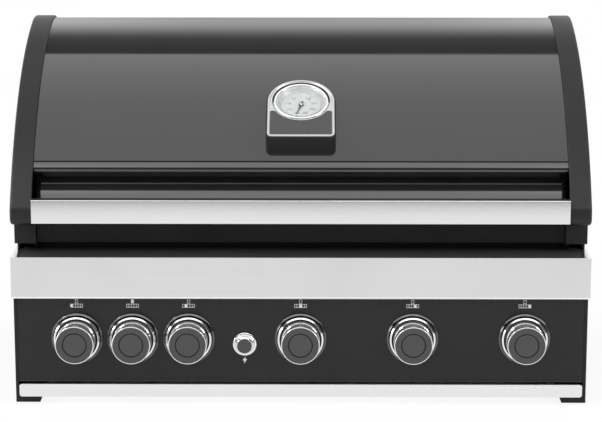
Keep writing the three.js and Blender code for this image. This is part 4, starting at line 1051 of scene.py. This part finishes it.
def knobProfiles():
    back, front, face, skirt, inner, lip = knob.back, knob.front, knob.face, knob.skirt, knob.skirtIn, knob.rimIn
    shares = [i / 16 for i in range(17)]
    shell = [(0, knob.boreEnd), (knob.bore, knob.boreEnd), (knob.bore, back), (skirt - 0.6, back), (skirt, back - 0.6),
             (skirt, front + 1.55), (skirt - 0.25, front + 1.02), (skirt - 2.2, front + 0.15), (skirt - 2.6, front),
             (inner + 0.3, front), (inner, front + 0.4), (inner, front + 2.4), (29.4, front + 2.4), (27.6, face + 3.0),
             (28.6, face + 2.5), (knob.rim, face + 2.5), *arc((knob.rim - 0.8, face + 0.8), 0.8, 0, -90, 5),
             (lip + 0.1, face), (lip, face + 0.6), (lip, face + 2.6), (0, face + 2.6)]
    deep = face + 0.4 - front
    cone = [(knob.collar - 0.2 * share - 1.6 * share ** 4, front + 2.4 + deep * share) for share in shares]
    return shell, cone + [(lip, face + 2.8), (27.6, face + 3.0), (29.2, front + 2.4)]


def makeKnobs():
    shell, cone = knobProfiles()
    gapShade, face, recess, inner = knob.front + 2.3, knob.face + 0.35, knob.recess, knob.recess - knob.groove
    gapShadeRing = [(29.5, gapShade), (32.1, gapShade), (32.1, gapShade - 0.6), (29.5, gapShade - 0.6)]
    disc = [(0, face + 2.0), (27.7, face + 2.0), (27.7, face + 0.1), (27.5, face), (recess + 0.2, face),
            (recess, face + 0.2), (recess, face + 1.5), (inner, face + 1.5), (inner, face + 0.9),
            (inner - 0.3, face + 0.7), (0, face + 0.6)]
    groove = [(recess, face + 1.45), (recess, face + 0.85), (inner, face + 0.85), (inner, face + 1.45)]
    for n, x in enumerate(knobXs, 1):
        body, at = "knob_%d" % n, (x, knob.axisZ)
        onKnob = {"centre": at, "slot": "knob", "body": body}
        lathePiece("knob_shell_%d" % n, shell, paint="chrome", hides=(body,), smooth=26, **onKnob)
        lathePiece("knob_cone_%d" % n, cone, paint="knobCone", wrap=True, smooth=26, **onKnob)
        # a near-black ring between the skirt and the cone: painted shade in the gap there
        lathePiece("knob_seal_%d" % n, gapShadeRing, paint="paintedShade", wrap=True, **onKnob)
        lathePiece("knob_face_%d" % n, disc, paint="knobFace", smooth=26, **onKnob)
        # a near-black ring at the bottom of the face's groove: painted shade in the groove
        lathePiece("knob_groove_%d" % n, groove, paint="paintedShade", sides=72, wrap=True, **onKnob)
        # the surround is in darkened chrome: painted shade in its reflection
        lathePiece("knob_surround_%d" % n, knob.surround, at, "chrome", "chromeWithPaintedShade", ("knob_bezel_%d" % n,), wrap=True)
        dressNode("valve_spindle_%d" % n, "inner_steel", "mill", 0.2, steps=1, body="valve_spindle_%d" % n)


igniterShape = {
    "centre": (-85.5, 94), "sparkDrop": 26, "sparkScale": 1.6,
    "ring": ((0, 31), (15, 31), (15, 11.7), (18.3, 11.7), (18.3, 9.0), (17.9, 8.1), (17.0, 7.6), (16.0, 7.5),
             (14.0, 8.6), (11.95, 9.6), (11.95, 29), (0, 29)),
    "button": ((0, 24.7), (11.3, 24.7), (11.65, 24.3), (11.65, -2.3), (11.55, -2.75), (11.35, -2.95), (11.2, -2.9),
               (11.15, -2.2), (0, -2.2)),
    "face": ((0, -2.0), (11.1, -2.0), (11.1, -2.7), (10.8, -2.8), (5, -2.4), (0, -2.35)),
    "spark": ((0.6, 3.4), (-2.2, -0.6), (-0.3, -0.6), (-0.9, -3.6), (2.2, 0.8), (0.3, 0.8)),
}
inkFront, inkBack = 11.85, 11.98


def makeIgniter():
    shape = SimpleNamespace(**igniterShape)
    button = {"centre": shape.centre, "slot": "button_chrome", "body": "igniter_button", "sides": 72}
    lathePiece("igniter_surround", shape.ring, shape.centre, "chrome", "chrome", ("igniter_bezel",), sides=72)
    lathePiece("igniter_push", shape.button, paint="chrome", hides=("igniter_button",), **button)
    lathePiece("igniter_push_face", shape.face, paint="knobFace", **button)
    (x, z), scale = shape.centre, shape.sparkScale
    spark = [(x + u * scale, z - shape.sparkDrop + v * scale) for u, v in shape.spark]
    prismPiece("spark_symbol", "Y", spark, inkFront, inkBack, "gloss_black", "ink")


marks = {"cell": 3.8, "row": (150.7, 156.2), "top": (157.2, 163.3), "topHalf": 2.2, "line": 0.62, "gap": 0.05,
         "own": (0, None, 1, 2, 3, 4)}  # the cell that each knob fills; the second knob fills the rear burner's


def makeMarks():  # five cells for the main burners and one above for the rear burner
    shape = SimpleNamespace(**marks)
    (low, high), (base, top), cell, line = shape.row, shape.top, shape.cell, shape.line
    gap, half = shape.gap, shape.topHalf
    inRow, inTop = [(z0 + line + gap, z1 - line - gap) for z0, z1 in (shape.row, shape.top)]
    for n, (x, own) in enumerate(zip(knobXs, shape.own), 1):
        x0, x1 = x - 2.5 * cell, x + 2.5 * cell
        bars = [(x0, x1, low, low + line), (x0, x1, high - line, high),
                (x - half, x + half, base, base + line), (x - half, x + half, top - line, top)]
        bars += [(left, left + line, *inTop) for left in (x - half, x + half - line)]
        lefts = [min(max(x0, x0 + i * cell - line / 2), x1 - line) for i in range(6)]
        bars += [(left, left + line, *inRow) for left in lefts]
        if own is None:
            bars.append((x - half + line + gap, x + half - line - gap, *inTop))
        else:
            left = x0 + own * cell
            bars.append((left + line / 2 + gap, left + cell - line / 2 - gap, *inRow))
        shell = newShell()
        for left, right, bottom, upper in bars:
            block(shell, left, right, inkFront, inkBack, bottom, upper)
        makePiece("burner_mark_%d" % n, shell, "gloss_black", "ink")


makeKnobs()
makeIgniter()
makeMarks()
print("controls ready")


# Inside: grates, tamers, burners, rack, rear burner, gas pipes

grateShape = {"bar": 9, "corner": 2.6, "count": 14, "ties": 3, "tieDrop": 0.8}


def makeGrates():
    shape = SimpleNamespace(**grateShape)
    bar, drop, iron = shape.bar, shape.tieDrop, {"slot": "cast_iron", "paint": "iron"}
    for name in ("grate_left", "grate_centre", "grate_right"):
        (x0, y0, z0), (x1, y1, z1) = boxInMm(name)
        middle, wide, deep, high = (z0 + z1) / 2, x1 - x0, y1 - y0, z1 - z0
        growBars(name + "_bars", (x0 + bar / 2, y0, middle), ((wide - bar) / (shape.count - 1), 0, 0), shape.count,
                 (0, deep, 0), (bar, high, shape.corner, 4), hides=(name,), **iron)
        growBars(name + "_ties", (x0, y0 + bar / 2, middle - drop), (0, (deep - bar) / (shape.ties - 1), 0), shape.ties,
                 (wide, 0, 0), (bar, high - 2 * drop, shape.corner, 4), **iron)


burnerShape = {"axisZ": 102.5, "radius": 16, "neck": 15.2, "bore": 14.5, "pin": 5, "pinLength": 18.5, "ports": 42,
               "portLean": 52, "firstPort": 60, "portStep": 7.2, "port": (1.3, 1.2, 0.3, 8)}
tamerShape = {"slope": 28.5 / 52, "slots": 11, "firstSlot": 30, "slotStep": 30.4, "aside": 20, "drop": 10.8,
              "rowAside": 16, "hole": (3.2, 3.0, 0.5, 12)}


def makeBurners():
    shape, tamer = SimpleNamespace(**burnerShape), SimpleNamespace(**tamerShape)
    wide, neck, bore, pin, z = shape.radius, shape.neck, shape.bore, shape.pin, shape.axisZ
    for n in range(1, 6):
        (x0, y0, _), (x1, y1, _) = boxInMm("main_burner_%d" % n)
        x, end = (x0 + x1) / 2, y1 - shape.pinLength
        tube = [(0, end - 1.5), (bore, end - 1.5), (bore, y0), (wide, y0), (wide, y0 + 24), (neck, y0 + 28),
                (neck, y0 + 34), (wide, y0 + 38), (wide, end - 3), (neck, end - 0.8), (13, end), (pin, end),
                (pin, y1 - 0.5), (pin - 0.5, y1), (0, y1)]
        lathePiece("burner_tube_%d" % n, tube, (x, z), "inner_steel", "burnerSteel", ("main_burner_%d" % n,), sides=40)
        # the ports are near-black discs: painted shade in the holes
        for side, name in leftRight:
            lean = radians(shape.portLean) * side
            start = (x + wide * sin(lean), y0 + shape.firstPort, z + wide * cos(lean))
            growStuds("burner_ports_%d_%s" % (n, name), start, (0, shape.portStep, 0), shape.ports, shape.port,
                      (0, lean, 0), "paintedShade")
        dressNode("flame_tamer_%d" % n, "inner_steel", "hotSteel", 0.3)
        (x0, y0, _), (x1, _, top) = boxInMm("flame_tamer_%d" % n)
        # the tamers' holes are near-black discs: painted shade in the holes
        for side, name in leftRight:
            start = ((x0 + x1) / 2 + side * tamer.aside, y0 + tamer.firstSlot, top - tamer.drop)
            growStuds("tamer_slots_%d_%s" % (n, name), start, (0, tamer.slotStep, 0), tamer.slots, tamer.hole,
                      (0, atan(tamer.slope) * side, 0), "paintedShade",
                      (side * tamer.rowAside, 0, -tamer.rowAside * tamer.slope), 2)


rackShape = {"rail": (6, 6, 2.95, 5), "rod": (4, 4, 1.95, 4), "rods": 7}


def makeRack():
    shape = SimpleNamespace(**rackShape)
    half = shape.rail[0] / 2
    (_, front, low), (right, back, top) = boxInMm("warming_rack")
    front, back, right, top = front + half, back - half, right - half, top - half
    pitch, wide, deep = (back - front) / (shape.rods - 1), 2 * right, back - front
    growBars("rack_rods", (-right, front + pitch, top), (0, pitch, 0), shape.rods - 2, (wide, 0, 0), shape.rod,
             hides=("warming_rack",))
    growBars("rack_rails", (-right - half, front, top), (0, deep, 0), 2, (wide + 2 * half, 0, 0), shape.rail)
    growBars("rack_ends", (-right, front, top), (wide, 0, 0), 2, (0, deep, 0), shape.rail)
    growBars("rack_ties", (-right / 2, front, top), (right / 2, 0, 0), 3, (0, deep, 0), shape.rod)
    for name, y in (("front", front), ("back", back)):
        growBars("rack_legs_" + name, (-right, y, low), (wide, 0, 0), 2, (0, 0, top - low), shape.rail)


rearBurner = {"tiles": 6, "border": 11, "gap": 0.6, "tileFront": 3.4, "tileBack": 5.8, "firstHole": (16, 3.3, 15),
              "holeStep": 6.98, "holes": 82, "rowStep": 6.8, "rows": 6, "hole": (1.5, 1.4, 0.3, 6)}


def makeRearBurner():
    shape = SimpleNamespace(**rearBurner)
    border, gap = shape.border, shape.gap
    dressNode("rear_burner", "inner_steel", "hotSteel", 0.6)
    (x0, y, z0), (x1, _, z1) = boxInMm("rear_burner")
    width = (x1 - x0 - 2 * border) / shape.tiles
    shell = newShell()
    for i in range(shape.tiles):
        left = x0 + border + i * width
        outline = roundedBox(left + gap, left + width - gap, z0 + border, z1 - border, 2, 3)
        prism(shell, "Y", outline, y + shape.tileFront, y + shape.tileBack)
    makePiece("rear_burner_tiles", shell, "inner_steel", "ceramic", soften=0.4)
    start = [edge + inset for edge, inset in zip((x0, y, z0), shape.firstHole)]
    # the holes are near-black discs: painted shade in the holes
    growStuds("rear_burner_holes", start, (shape.holeStep, 0, 0), shape.holes, shape.hole, (radians(90), 0, 0), "paintedShade",
              (0, 0, shape.rowStep), shape.rows)


pipes = {"inlet": (420, 81.5), "inletNut": (501.2, 506.4, 10.5), "valveNut": (19.5, 24.2, 8), "thread": 506.4,
         "threads": 5}


def hexNut(shell, x, z, y0, y1, radius):
    hexagon = [(x + radius * cos(radians(60 * i)), z + radius * sin(radians(60 * i))) for i in range(6)]
    prism(shell, "Y", hexagon, y0, y1)


def makePipes():
    dressNode("gas_manifold", "brass", "brass", 0.5)
    shell = newShell()
    hexNut(shell, *pipes["inlet"], *pipes["inletNut"])
    for x in knobXs:
        hexNut(shell, x, knob.axisZ, *pipes["valveNut"])
    makePiece("pipe_nuts", shell, "brass", "brass", soften=0.5)
    start = pipes["thread"]
    turns = [point for i in range(pipes["threads"]) for point in ((7.4, start + 0.6 + i), (6.6, start + 1.1 + i))]
    thread = [(4.5, start), (6.2, start), *turns, (6.4, start + 5.6), (4.5, start + 5.6)]
    lathePiece("inlet_thread", thread, pipes["inlet"], "brass", "brass", sides=40, wrap=True, smooth=20)


makeGrates()
makeBurners()
makeRack()
makeRearBurner()
makePipes()
print("inside ready")
